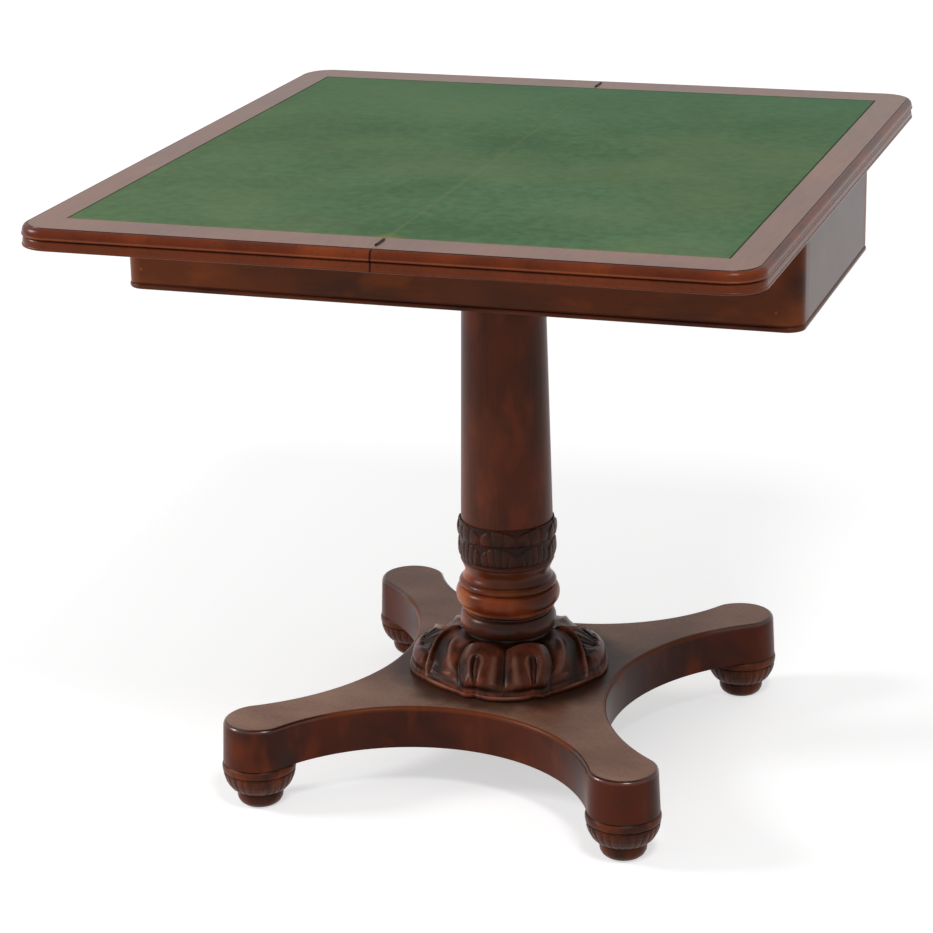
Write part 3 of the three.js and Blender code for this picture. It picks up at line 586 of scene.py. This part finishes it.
def petal_relief(off, u, degree, lobe_end, foot_dark):
    """A dished petal out to its arched edge, then a spray of leaves over a boss. Gives the same two."""
    arch = between_points(arch_angles, u, straight)
    from_arch = (arch - off) * degree
    inside = smooth_step(-2.5, 2.5, from_arch)
    across = (off - lobe_end) / max(1, arch - lobe_end)
    begun = smooth_step(0.08, 0.3, u)
    bar = bump(across, 0.55 - 0.48 * u, 0.11) * begun * smooth_step(0.9, 0.75, u)
    lip = bump(u, 0.88, 0.04) * smooth_step(0.15, 0.4, across) * smooth_step(0.95, 0.7, across)
    petal = 2.8 * bar - (2.2 * bump(across, 0.7, 0.22) + 1.2 * bump(across, 0, 0.07)) * begun + 1.4 * lip

    side = (90 - off) * degree
    fan = math.atan2((1.02 - u) * 66, max(side, 0.1))
    teeth = abs(math.cos(fan * 4.5)) ** 0.8
    on_spray = smooth_step(3.5, 9, -from_arch) * smooth_step(0.84, 0.72, u)
    spray = 4 * teeth + 0.5 * math.cos(fan * 27 + 0.1 * side) - 1.2
    boss = smooth_step(4, 11, -from_arch) * math.sqrt(max(0, 1 - ((u - 0.87) / 0.13) ** 2))

    proud = petal * inside + (spray * on_spray + 4.6 * boss) * (1 - inside)
    proud += arch_rise * bump(from_arch, 0, 3.2)
    # Dark is grimy, painted shade in the creases, outside the arch and in the spray; light is a painted
    # highlight on the bar, the arch's ridge and the lip.
    dark = max(
        0.8 * bump(across, 0, 0.07),
        0.75 * bump(from_arch, -6, 2) * smooth_step(0.1, 0.3, u),
        on_spray * (0.8 + 0.2 * (1 - teeth)),
        0.85 * bump(across, 0.7, 0.27) * inside * smooth_step(0.15, 0.35, u),
        foot_dark,
    )
    light = 0.5 * bar + 0.8 * bump(from_arch, -0.5, 2.6) + 0.3 * lip * inside
    return proud, -light if light > dark * 0.6 else dark


def collar_relief(angle, radius, height):
    """The rim, and the dome above it, where u is the share of the way down. Off is the angle in degrees
    from the middle of the front or of the back."""
    turned_by = abs(math.degrees((angle - collar_facing + math.pi) % math.tau - math.pi))
    off = min(turned_by, 180 - turned_by)
    rim_shift = between_points(rim_shifts, off)
    if height < collar_rim_top + 0.1:
        return rim_relief(off, radius, height, rim_shift)
    u = (radius - collar_inner_radius) / (collar_outer_radius - collar_inner_radius)
    # Painted shade under the column foot, and in the groove above the rim.
    if u < 0:
        return 0, 0, 0.8
    degree = math.radians(1) * radius
    foot_dark = max(0.9 * bump(u, 0.96, 0.02), 0.8 * smooth_step(0.12, 0, u))
    lobe_end = 44.5 - 16.5 * u ** 1.3
    relief = lobe_relief if off <= lobe_end else petal_relief
    proud, dark = relief(off, u, degree, lobe_end, foot_dark)
    return proud * smooth_step(0.99, 0.9, u), rim_shift * smooth_step(0.62, 1, u), dark


collar_profile = [
    (collar_bore_radius, collar_bottom), (collar_outer_radius - 4, collar_bottom),
    *swell(
        collar_outer_radius - 1, collar_outer_radius + collar_rim_proud, collar_bottom, collar_rim_top),
]
for step in range(collar_rings, 0, -1):
    u = math.sin(math.pi / 2 * step / collar_rings) ** 1.21
    collar_profile.append((
        collar_inner_radius + (collar_outer_radius - collar_inner_radius) * u,
        collar_rim_top + 0.2 + collar_rise * (1 - u ** 1.65) ** 0.7,
    ))
collar_profile += [(collar_inner_radius - 2, collar_top), (collar_bore_radius, collar_top)]

collar = turn_on_lathe(collar_profile, collar_steps)
carve(collar, collar_relief)
collar_tones = (shade(62, 36, 28), shade(94, 52, 40), shade(126, 64, 44))
# A painted highlight on the rim's left chord, on the side that faces the window.
collar_painted_light = [((-61, -102, 110), 34, shade(150, 78, 46), 0.7)]
collar_mahogany = mahogany(
    "carved_collar_mahogany", collar_tones, "Z", 16,
    carved=True, marks=collar_painted_light, gloss=0.24, polish=1.2)
finished("carved_collar", collar, collar_mahogany, "stand", ["petal_collar"], 80)


# Column foot: one turning of polished mahogany with a ring, a bead, a big torus, an ovolo and a fillet.
# It stands on the collar, and the tie bolt runs down through it.
column_steps = 160
column_foot_profile = [
    (28, 153.8), (52.6, 153.8, 0.9), (52.2, 156.6, 0.9),
    *swell(52, 58.4, 157, 181, 16),
    (51.6, 181.8, 0.4), (51.6, 183, 0.7), (52.4, 184.2, 0.7), (55, 185, 0.2), (56.3, 186.2),
    (56.7, 187.6), (56.2, 188.8), (55.6, 189.8, 0.3), (55.6, 190.8, 0.6),
    *swell(56.6, 62.9, 191.3, 213.4, 18),
    (56.9, 213.9, 0.5), (57, 214.6, 0.6), (58.1, 215.3, 0.3), (58.9, 216.6), (58.9, 218.4), (58, 220.4),
    (56.6, 222, 0.2), (55.2, 222.8, 0.5), (54.3, 223.7, 0.6), (54.2, 224.6, 0.3), (53.6, 226),
    (52.4, 228.2), (51.3, 230.2), (50.9, 231.8), (51.1, 233.6), (51.9, 236), (53, 238.6), (54, 241),
    (54.8, 243.2), (54.9, 244.7, 0.3), (28, 244.7),
]
# Painted light and shade: shade on the torus's right side, light on its lower left, and a highlight on
# the ring's left.
column_foot_light_and_shade = [
    ((56, -30, 205), 56, shade(60, 32, 22), 0.9),
    ((-44, -46, 198), 34, shade(186, 104, 50), 0.8),
    ((-50, -34, 168), 26, shade(160, 74, 52), 0.6),
]


def column_foot_wood():
    """Bright orange on the torus and up, and darker on the ring below it."""
    finish = Finish("turned_mahogany")
    cloud = finish.noise(14, "Z", 1.5)
    fine = finish.noise(160, "X", 6)
    rise = finish.axis("Z")
    ring = finish.ramp(cloud, (0.38, shade(58, 36, 28)), (0.6, shade(82, 44, 32)))
    upper = finish.ramp(
        cloud, (0.36, shade(108, 46, 24)), (0.5, shade(142, 64, 32)), (0.66, shade(168, 90, 50)))
    finish.colour = finish.mix(finish.band(rise, 0.183, 0.187), ring, upper)
    fillet = finish.band(rise, 0.214, 0.2145) * (1 - finish.band(rise, 0.2215, 0.2225))
    finish.lay(fillet * 0.6, shade(84, 42, 26))
    # Painted shade on the right side of the neck under the cuff.
    right_side_shade = finish.band(finish.axis("X"), -0.045, 0) * finish.band(rise, 0.2215, 0.224)
    finish.lay(right_side_shade * 0.8, shade(66, 38, 27))
    finish.lay_marks(column_foot_light_and_shade)
    finish.lay(finish.band(fine, 0.5, 0.75) * 0.2, shade(62, 32, 20))
    finish.lay_dirt_shade_and_highlight()
    return finish.surface({"Roughness": 0.22 + cloud * 0.12, "IOR": 1.27}, fine, 0.04)


column_foot = turn_on_lathe(column_foot_profile, column_steps)
finished(
    "turned_column_foot", column_foot, column_foot_wood(), "stand", ["column_foot"])


# Leaf cuff: a mahogany ring under the shaft, carved with two tiers of upright leaves, eight to a tier,
# whose tips curl out from the plain shaft. The hollows are nearly black, grimy and in painted shade.
cuff_bottom = 245
cuff_top = 298.4
cuff_carved_from = 249.8
cuff_carved_to = 298.25
cuff_carved_radius = 56.5
cuff_tiers_meet = 276.5
lower_leaf_lobes = 5
upper_leaf_lobes = 3
cuff_leaves = 8
cuff_facing = math.radians(-84)
cuff_leaf_depth = 1.6
cuff_shape = [
    (54.9, 245), (56.2, 245.8), (56.7, 247.2), (56.3, 248.6), (55.9, 249.6), (57, 250.6), (58.2, 254.2),
    (59, 258), (59.2, 261.7), (59.1, 265.4), (58.7, 270), (58.4, 274.6), (58.6, 277.4), (59.4, 280.5),
    (60.1, 285), (60.1, 289), (59.4, 293), (58.8, 295.8), (58.4, 297.2),
]
cuff_curl = [(57.8, 298), (57, 298.3, 0.3), (56.2, 298.2, 0.6), (55.9, 296.2, 0.8), (40, 296.2)]
cuff_steps = 448
cuff_shape_steps = 4


def tier_relief(turn, rise, lobes):
    """One tier of leaves, each with lobes that fan out of its foot and end in a scalloped tip."""
    across = (turn * cuff_leaves / math.tau + 0.5) % 1 - 0.5
    back = lobe(across / (0.82 + 0.24 * rise), lobes)
    tip = 1.02 - 1.7 * across * across - 0.08 * (1 - back)
    leaf = smooth_step(0.5, 0.45, abs(across)) * smooth_step(0, 0.08, tip - rise)
    return back ** 0.6 * leaf * smooth_step(-0.02, 0.14, rise)


def cuff_relief(angle, radius, height):
    if not cuff_carved_from <= height <= cuff_carved_to or radius < cuff_carved_radius:
        return 0, 0, 0
    bottom, top, lobes = cuff_carved_from, cuff_tiers_meet, lower_leaf_lobes
    if height >= cuff_tiers_meet:
        bottom, top, lobes = cuff_tiers_meet, cuff_top, upper_leaf_lobes
    back = tier_relief(angle - cuff_facing, (height - bottom) / (top - bottom), lobes)
    return cuff_leaf_depth * (back - 0.8), 0, 0.55 * (1 - back) ** 1.2


cuff_profile = [(40, cuff_bottom), *finer(cuff_shape, cuff_shape_steps), *cuff_curl]
cuff = turn_on_lathe(cuff_profile, cuff_steps)
carve(cuff, cuff_relief)


def cuff_wood():
    """Dark where it is carved, grimy and in painted shade, and bright and smooth under the leaves."""
    finish = Finish("carved_cuff_mahogany")
    cloud = finish.noise(22, "Z", 1.5)
    fine = finish.noise(200, "Z", 4)
    finish.colour = finish.ramp(
        cloud, (0.38, shade(60, 38, 30)), (0.5, shade(68, 41, 32)), (0.66, shade(84, 46, 34)))
    finish.lay(finish.near((-18, -57, 285), 15) * 0.6, shade(112, 54, 38))
    plain = 1 - finish.band(finish.axis("Z"), 0.2484, 0.2496)
    finish.lay(plain * 0.6, shade(98, 48, 31))
    finish.lay(finish.band(fine, 0.5, 0.75) * 0.25, dirt_and_shade)
    finish.lay_dirt_shade_and_highlight()
    return finish.surface({"Roughness": 0.3 + cloud * 0.14, "IOR": 1.22}, fine, 0.1)


finished("carved_leaf_cuff", cuff, cuff_wood(), "stand", ["column_leaf_cuff"], 80)


# Shaft: a plain taper turned from one length of mahogany, its grain running up it. It stands on the cuff,
# carries the frieze, and is bored through for the tie bolt.
shaft_profile = [
    (28, 296.3), (55.3, 296.3), (55, 315), (53.3, 400), (51.5, 490), (49.9, 570), (49.1, 605.7),
    (28, 605.7),
]
shaft_tones = (shade(74, 46, 35), shade(100, 54, 40), shade(124, 62, 42))
shaft_marks_and_shade = [
    # The first mark is painted shade, high on the right side just under the frieze.
    ((34, -40, 585), 52, shade(54, 40, 32), 0.8),
    ((10, -52, 512), 40, shade(108, 56, 34), 0.5),
    ((2, -54, 418), 42, shade(104, 62, 36), 0.5),
]
shaft_mahogany = mahogany("shaft_mahogany", shaft_tones, "Z", 9, marks=shaft_marks_and_shade, polish=1.2)
shaft = turn_on_lathe(shaft_profile, column_steps)
finished("tapered_shaft", shaft, shaft_mahogany, "stand", ["column_shaft"])


# Frieze: a box of rails between corner posts rounded to a quarter circle, glued up and veneered in one
# run, with the figure of the mahogany along it.
frieze_half_length = 394 * mm
frieze_half_depth = 192.8 * mm
rail_thickness = 20 * mm
post_width = 34 * mm
frieze_corner_radius = 20 * mm
rail_bottom = 614 * mm
rail_top = 716 * mm
frieze_tones = (shade(82, 46, 28), shade(108, 55, 28), shade(140, 72, 34))
orange, grey_brown = shade(134, 68, 32), shade(60, 44, 34)
front = -frieze_half_depth / mm
frieze_marks_and_shade = [
    ((-382, front, 670), 30, orange, 0.7), ((-290, front, 640), 44, orange, 0.5),
    ((-236, front, 668), 56, grey_brown, 0.35),
    ((10, front, 626), 72, shade(122, 62, 34), 0.7),
    ((108, front, 672), 46, grey_brown, 0.3),
    ((254, front, 650), 36, orange, 0.5), ((366, front, 664), 30, orange, 0.8),
    # Painted shade on the front's rounded right corner.
    ((390, front + 4, 660), 34, shade(56, 28, 20), 0.8),
    ((-373.9, front, 630), 2.6, shade(170, 96, 60), 0.9),
    ((367, front, 669), 2.6, shade(170, 110, 84), 0.8),
    ((365.6, front, 628), 3, shade(150, 96, 76), 0.8),
]
frieze_mahogany = mahogany("frieze_mahogany", frieze_tones, "X", 8, marks=frieze_marks_and_shade)
# The end rails' tones are greyer than the front's: a painted grey sheen, as their polish is seen edge-on.
end_tones = (shade(76, 53, 46), shade(86, 59, 50), shade(95, 65, 54))
end_mahogany = mahogany("frieze_end_mahogany", end_tones, "Y", 5, polish=1.3)


def squared(low, high):
    """A squared length of wood between its lowest and highest corners."""
    form = bmesh.new()
    bmesh.ops.create_cube(form, size=1)
    size = Vector(high) - Vector(low)
    bmesh.ops.scale(form, verts=form.verts, vec=size)
    bmesh.ops.translate(form, verts=form.verts, vec=(Vector(high) + Vector(low)) / 2)
    return form


def mirrored(form, x, y=1):
    """Turns a form made for the back right over to the left or the front, where x or y is -1."""
    bmesh.ops.scale(form, verts=form.verts, vec=(x, y, 1))
    bmesh.ops.recalc_face_normals(form, faces=form.faces)
    return form


def round_corners(form, radius, x, y=-math.inf):
    """Rounds a squared form's upright edges, those that lie out at x and at y."""
    corners = [
        edge for edge in form.edges
        if all(vert.co.x > x - one_point and vert.co.y > y - one_point for vert in edge.verts)
        and abs(edge.verts[0].co.z - edge.verts[1].co.z) > mm
    ]
    bmesh.ops.bevel(
        form, geom=corners, offset=radius, segments=20, profile=0.5, affect="EDGES", material=-1)


post_inner_x = frieze_half_length - post_width
post_inner_y = frieze_half_depth - post_width
front_and_back = ((-1, "front"), (1, "back"))
left_and_right = ((-1, "left"), (1, "right"))
for side, place in front_and_back:
    faces = sorted((side * frieze_half_depth, side * (frieze_half_depth - rail_thickness)))
    rail = squared((-post_inner_x, faces[0], rail_bottom), (post_inner_x, faces[1], rail_top))
    finished(f"veneered_{place}_rail", rail, frieze_mahogany, "stand", [f"{place}_rail"])
for side, place in left_and_right:
    faces = sorted((side * frieze_half_length, side * (frieze_half_length - rail_thickness)))
    rail = squared((faces[0], -post_inner_y, rail_bottom), (faces[1], post_inner_y, rail_top))
    finished(f"veneered_{place}_rail", rail, end_mahogany, "stand", [f"{place}_rail"])

for side_y, place_y in front_and_back:
    for side_x, place_x in left_and_right:
        post = squared(
            (post_inner_x, post_inner_y, rail_bottom), (frieze_half_length, frieze_half_depth, rail_top))
        round_corners(post, frieze_corner_radius, frieze_half_length, frieze_half_depth)
        mirrored(post, side_x, side_y)
        name = f"{place_y}_{place_x}_post"
        keep_flats_flat(finished(
            "rounded_" + name, post, frieze_mahogany, "stand", [name]))


# Frieze bead: a small mahogany moulding glued under the rails, in four lengths mitred at the corners,
# with a dark quirk along its top.
bead_bottom = 606 * mm
bead_proud = 1 * mm
bead_profile = [
    (21, 0), (2.4, 0), (1, 0.5), (0.25, 1.6), (0, 3), (0, 4.4), (0.4, 5.3), (1.4, 5.9), (1.8, 6.1),
    (1.8, 7.7), (21, 7.7),
]


def bead_wood():
    """Brown mahogany, with a painted dark red shade in the quirk along its top."""
    finish = Finish("bead_mahogany")
    cloud = finish.noise(9)
    finish.colour = finish.ramp(cloud, (0.38, shade(72, 34, 20)), (0.6, shade(104, 54, 28)))
    finish.lay(finish.band(finish.axis("Z"), 0.6112, 0.6118) * 0.6, shade(70, 26, 14))
    return finish.surface({"Roughness": 0.26 + cloud * 0.12, "IOR": 1.23}, cloud, 0.05)


def run_moulding(profile, base, start, facing, moves):
    """Sweeps a profile of millimetres in from the outer edge and up, along straight runs and turns.
    It sets out from start, with its outer edge facing one way, and moves to the left of that."""
    form = bmesh.new()
    outward = Vector((math.cos(facing), math.sin(facing), 0))
    verts = [
        form.verts.new(Vector((*start, base + up * mm)) - outward * (inward * mm))
        for inward, up in profile
    ]
    edges = [form.edges.new(pair) for pair in zip(verts, verts[1:] + verts[:1])]
    bmesh.ops.contextual_create(form, geom=edges)
    place = Vector((*start, 0))
    for kind, amount, *more in moves:
        ahead = Vector((-outward.y, outward.x, 0))
        if kind == "run":
            swept = bmesh.ops.extrude_edge_only(form, edges=edges)["geom"]
            ends = [item for item in swept if isinstance(item, bmesh.types.BMVert)]
            bmesh.ops.translate(form, verts=ends, vec=ahead * amount)
            place += ahead * amount
        else:
            steps, angle = more
            centre = place - outward * amount
            swept = bmesh.ops.spin(
                form, geom=edges, cent=centre, axis=(0, 0, 1), angle=angle,
                steps=steps, use_duplicate=False)["geom_last"]
            spin = Matrix.Rotation(angle, 3, "Z")
            place = centre + spin @ (place - centre)
            outward = spin @ outward
        edges = [item for item in swept if isinstance(item, bmesh.types.BMEdge)]
    bmesh.ops.contextual_create(form, geom=edges)
    bmesh.ops.recalc_face_normals(form, faces=form.faces)
    return form


bead_mahogany = bead_wood()
bead_radius = frieze_corner_radius + bead_proud
eighth = math.pi / 4
long_run = frieze_half_length - frieze_corner_radius
short_run = frieze_half_depth - frieze_corner_radius
bend = ("turn", bead_radius, 10, eighth)
facing = -math.pi / 2 - eighth
for quarter, place in enumerate(("front", "right", "back", "left")):
    half_run, offset = (short_run, long_run) if place in ("right", "left") else (long_run, short_run)
    start = Vector((-half_run, -offset)) + Vector((math.cos(facing), math.sin(facing))) * bead_radius
    bead = run_moulding(bead_profile, bead_bottom, start, facing, [bend, ("run", 2 * half_run), bend])
    swing(bead, quarter * math.pi / 2)
    finished(f"{place}_frieze_bead", bead, bead_mahogany, "stand", [f"{place}_bead"], 50)


# Inside the frieze: the card well's floor and divider, the pivot rail, the bearer and the glue blocks, of
# bare pine, planed by hand and never polished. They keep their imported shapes.
def bare_pine():
    finish = Finish("bare_pine")
    rings = finish.noise(16, detail=4, distortion=1.2)
    fuzz = finish.noise(90, detail=3)
    finish.colour = finish.ramp(
        rings * 0.7 + fuzz * 0.3,
        (0.35, shade(128, 98, 62)), (0.5, shade(170, 136, 92)), (0.7, shade(190, 158, 112)))
    return finish.surface({"Roughness": 0.75 + fuzz * 0.15}, fuzz, 0.25)


def dress(nodes, finish):
    """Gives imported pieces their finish, and leaves their shape alone."""
    for node in nodes:
        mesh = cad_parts[node].data
        mesh.materials.clear()
        mesh.materials.append(finish)


pine_nodes = ["well_board", "well_divider", "pivot_rail", "column_bearer"]
pine_nodes += [f"{y}_{x}_glue_block" for y in ("front", "back") for x in ("left", "right")]
dress(pine_nodes, bare_pine())


# Ironwork: the tie bolt through the column, and the pivot that the top swivels on, whose flange is
# screwed to the right hand leaf. Both are of dull, forged iron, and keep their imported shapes.
def forged_iron():
    finish = Finish("forged_iron")
    patches = finish.noise(60, detail=5)
    finish.colour = finish.ramp(patches, (0.35, shade(52, 48, 46)), (0.65, shade(96, 88, 82)))
    return finish.surface({"Metallic": 0.85, "Roughness": 0.42 + patches * 0.25}, patches, 0.2)


iron_nodes = ["tie_bolt", "tie_bolt_washer", "tie_bolt_nut", "pivot_spindle", "pivot_washer", "pivot_nut"]
iron_nodes += [f"pivot_screw_{number}" for number in (1, 2, 3, 4)]
dress(iron_nodes, forged_iron())


# Leaves: two boards faced with mahogany, each let in for its baize so that only a band of wood shows
# round it. They meet in the middle, and the hinges are let into their meeting faces.
leaf_bottom = 716.3 * mm
leaf_top = 740 * mm
leaf_width = 405.4 * mm
leaf_half_length = 453.3 * mm
leaf_corner_radius = 40 * mm
edge_depth = 8 * mm
meeting_face = 0.3 * mm
baize_width = 362 * mm
baize_half_length = 399 * mm
recess_floor = 738.7 * mm
recess_gap = 0.3 * mm
hinge_centre = 420.3 * mm
hinge_half_length = 12.3 * mm
mortise_floor = 726 * mm
mortise_depth = 1.8 * mm
overrun = 5 * mm
leaves = (("base", "top", 1), ("flap", "flap", -1))


def cut(piece, cutters):
    """Cuts the shape of each cutter out of a piece, then clears the cutters away."""
    for form in cutters:
        cutter = solid("cutter", form)
        boolean = piece.modifiers.new("cut", "BOOLEAN")
        boolean.operation = "DIFFERENCE"
        boolean.solver = "EXACT"
        boolean.object = cutter
        shaped = piece.evaluated_get(bpy.context.evaluated_depsgraph_get())
        piece.data = bpy.data.meshes.new_from_object(shaped)
        piece.modifiers.clear()
        bpy.data.objects.remove(cutter)


def leaf_board():
    """The right hand leaf's board, out to where its reeded edge starts."""
    form = squared(
        (meeting_face, -leaf_half_length + edge_depth, leaf_bottom),
        (leaf_width - edge_depth, leaf_half_length - edge_depth, leaf_top))
    round_corners(form, leaf_corner_radius - edge_depth, leaf_width - edge_depth)
    return form


def hinge_mortises():
    return [
        squared(
            (-overrun, side * hinge_centre - hinge_half_length, mortise_floor),
            (mortise_depth, side * hinge_centre + hinge_half_length, leaf_top + overrun))
        for side in (-1, 1)
    ]


def band_veneer():
    """Crossbanding round the baize: even, faded mahogany, pinkish brown under its polish."""
    finish = Finish("crossbanded_mahogany")
    cloud = finish.noise(7, detail=3)
    streaks = finish.noise(24, "Y", 9, detail=4)
    pores = finish.noise(230, "Y", 4)
    finish.colour = finish.ramp(
        cloud * 0.7 + streaks * 0.3,
        (0.36, shade(104, 68, 54)), (0.52, shade(120, 82, 66)), (0.68, shade(134, 94, 76)))
    finish.lay(finish.band(pores, 0.5, 0.75) * 0.2, shade(70, 42, 32))
    finish.lay(finish.near((384.9, -358.2, 740), 4) * 0.5, shade(56, 40, 34))
    return finish.surface({"Roughness": 0.25 + cloud * 0.12, "IOR": 1.36}, pores, 0.05)


veneer = band_veneer()
for leaf, body, side in leaves:
    board = mirrored(leaf_board(), side)
    piece = finished(f"{leaf}_leaf", board, veneer, body, [f"{leaf}_leaf_board"])
    recess = squared(
        (-overrun, -baize_half_length - recess_gap, recess_floor),
        (baize_width + 2 * recess_gap, baize_half_length + recess_gap, leaf_top + overrun))
    cut(piece, [mirrored(form, side) for form in (recess, *hinge_mortises())])


# Reeded edges: a strip of redder mahogany, glued round three sides of each leaf. It is worked with two
# ovolos, each above a small lip that catches the light, and a dark groove between them.
def ovolo(inward, bottom, depth, height, steps):
    """Points up a quarter round, from its lowest and outermost one."""
    turns = [math.radians(90 / steps * step) for step in range(steps + 1)]
    return [(inward + depth * (1 - math.cos(turn)), bottom + height * math.sin(turn)) for turn in turns]


reed_profile = [
    (edge_depth / mm, 0), (1, 0), (0.2, 0.4), (0, 1.2), (0, 2.2), (0.5, 2.7), (0.8, 2.9),
    *ovolo(0.8, 3.4, 2.4, 7.4, 9),
    (3.2, 10.9), (2.2, 11.2), (1.6, 11.7), (0.6, 12.1), (0.1, 12.5), (0, 13.4), (0.3, 13.9), (0.8, 14.1),
    *ovolo(0.8, 14.6, 5.4, 8.5, 10),
    (7.1, 23.1), (7.5, 22.8), (7.8, 23.6), (edge_depth / mm, 23.7),
]


def edge_wood():
    """Red mahogany, with a painted highlight on the upper lip, painted shade in the groove, and dark
    under the top.
    """
    finish = Finish("reeded_mahogany")
    cloud = finish.noise(11)
    fine = finish.noise(170)
    rise = finish.axis("Z")
    finish.colour = finish.ramp(
        cloud, (0.38, shade(86, 38, 18)), (0.5, shade(102, 45, 21)), (0.66, shade(124, 58, 28)))
    lower = 1 - finish.band(rise, 0.7265, 0.7275)
    finish.lay(lower * 0.5, shade(112, 56, 32))
    # A painted highlight on the lip under the upper ovolo.
    lip_highlight = finish.band(rise, 0.7284, 0.7288) * (1 - finish.band(rise, 0.7305, 0.731))
    finish.lay(lip_highlight * 0.4, shade(150, 84, 52))
    # Painted shade in the groove.
    groove = finish.band(rise, 0.7266, 0.7272) * (1 - finish.band(rise, 0.7281, 0.7285))
    finish.lay(groove * 0.5, shade(66, 22, 10))
    split = 1 - finish.band(finish.off("X"), 0.0009, 0.0016)
    finish.lay(split * 0.8, shade(40, 20, 14))
    finish.lay(finish.band(rise, 0.7389, 0.7392) * 0.7, shade(56, 24, 14))
    finish.lay(finish.band(fine, 0.5, 0.75) * 0.25, shade(56, 24, 14))
    return finish.surface({"Roughness": 0.22 + cloud * 0.1, "IOR": 1.25}, fine, 0.04)


edge_mahogany = edge_wood()
long_edge = 2 * (leaf_half_length - leaf_corner_radius)
short_edge = leaf_width - leaf_corner_radius - meeting_face
corner = ("turn", leaf_corner_radius, 20, math.pi / 2)
for leaf, body, side in leaves:
    strip = run_moulding(reed_profile, leaf_bottom, (meeting_face, -leaf_half_length), -math.pi / 2, [
        ("run", short_edge), corner, ("run", long_edge), corner, ("run", short_edge)])
    finished(f"{leaf}_reeded_edge", mirrored(strip, side), edge_mahogany, body,
             [f"{leaf}_leaf_reeded_edge"], 50)


# Hinges: a small brass butt near each end of the fold, gone brown with age. It is screwed into the
# leaves' meeting faces, its pin level with the baize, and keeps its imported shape.
def old_brass():
    finish = Finish("old_brass")
    patches = finish.noise(180, detail=4)
    finish.colour = finish.ramp(patches, (0.3, shade(40, 30, 20)), (0.7, shade(66, 52, 32)))
    return finish.surface({"Metallic": 0.9, "Roughness": 0.4 + patches * 0.2})


hinge_parts = ["pin"]
hinge_parts += [f"{leaf}_{part}" for leaf in ("base", "flap") for part in ("plate", "screw_1", "screw_2")]
dress([f"{place}_hinge_{part}" for place in ("front", "back") for part in hinge_parts], old_brass())


# Baize: a green woollen cloth, glued into the recess of each leaf, worn yellowish along the fold and at
# the near edge.
baize_thickness = 1 * mm


def green_baize():
    """Woollen cloth: faded and yellowish by the fold and the near edge, with painted shade along its
    other edges.
    """
    finish = Finish("green_baize")
    cloud = finish.noise(7)
    patches = finish.noise(3.2)
    mottle = finish.noise(90, detail=3)
    nap = finish.noise(700, detail=3)
    finish.colour = finish.ramp(
        cloud * 0.5 + mottle * 0.5,
        (0.36, shade(72, 99, 71)), (0.5, shade(81, 109, 79)), (0.64, shade(89, 118, 88)))
    finish.lay(finish.band(patches, 0.46, 0.66) * 0.4, shade(106, 118, 82))
    left = 1 - finish.band(finish.axis("X"), -0.34, 0.05)
    finish.lay(left * 0.22, shade(108, 118, 80))
    from_fold = finish.off("X")
    finish.lay((1 - finish.band(from_fold, 0, 0.004)) * 0.3, shade(116, 120, 74))
    along = finish.axis("Y")
    finish.lay((1 - finish.band(along, -0.399, -0.391)) * 0.3, shade(124, 122, 78))
    finish.lay(finish.band(along, 0.05, 0.4) * 0.4, shade(92, 128, 98))
    finish.lay(finish.near((0, -398, 740), 24) * 0.6, shade(134, 126, 72))
    # Painted shade along the far edge and the outer side.
    finish.lay(finish.band(along, 0.3955, 0.3985) * 0.85, shade(34, 36, 24))
    finish.lay(finish.band(from_fold, 0.3598, 0.3614) * 0.85, shade(34, 36, 24))
    finish.lay(finish.band(nap, 0.45, 0.7) * 0.25, shade(70, 92, 62))
    return finish.surface({"Roughness": 0.95, "Specular IOR Level": 0.15}, nap, 0.4, 0.6 * mm)


baize = green_baize()
for leaf, body, side in leaves:
    cloth = squared(
        (0, -baize_half_length, leaf_top - baize_thickness),
        (baize_width + recess_gap, baize_half_length, leaf_top))
    sheet = finished(
        f"{leaf}_baize", mirrored(cloth, side), baize, body, [f"{leaf}_leaf_baize"])


# Room: a pale floor and a white surround. Soft light comes from everywhere, a window stands at the left
# and a high lamp in front on the right.
floor_half = 6
floor_shade = 0.62
floor_glow = 0.57
far_floor_glow = 0.8
sky_strength = 0.42
lamps_aim = (0, 0, 0.4)


def lamp(name, place, size, power):
    """A round, soft light that faces the table."""
    light = bpy.data.lights.new(name, "AREA")
    light.shape = "DISK"
    light.size = size
    light.energy = power
    holder = added(name, light)
    holder.location = place
    holder.rotation_euler = (Vector(lamps_aim) - Vector(place)).to_track_quat("-Z", "Y").to_euler()


lamp("window", (-3, -1, 2), 1, 60)
lamp("high_lamp", (1.2, -1.9, 3.4), 0.9, 55)


def when_seen(finish):
    """1 for what the camera sees, straight, in a polish or through glass, and 0 for lighting."""
    seen = 0
    for kind in ("Camera", "Glossy", "Transmission"):
        ray = finish.node("LightPath", {}, f"Is {kind} Ray")
        seen = ray.math("MAXIMUM", ray, seen)
    return seen


def grey(level):
    return (level, level, level, 1)


floor_form = bmesh.new()
bmesh.ops.create_grid(floor_form, x_segments=1, y_segments=1, size=floor_half)
floor = solid("floor", floor_form)
floor_finish = Finish("pale_floor")
floor_finish.colour = grey(floor_shade)
floor_light = floor_finish.mix(
    floor_finish.band(floor_finish.distance(), 0.3, 4.8), grey(floor_glow), grey(far_floor_glow))
floor.data.materials.append(floor_finish.surface({
    "Roughness": 0.9,
    "Emission Color": floor_finish.mix(when_seen(floor_finish), grey(0), floor_light),
    "Emission Strength": 1,
}))

sky = Finish("studio", bpy.data.worlds)
sky_light = sky.node("MapRange", {"Value": when_seen(sky), "To Min": sky_strength, "To Max": 1})
sky.node("OutputWorld", {"Surface": sky.node("Background", {"Strength": sky_light})})
bpy.context.scene.world = sky.owner
bpy.context.scene.view_settings.view_transform = "Standard"
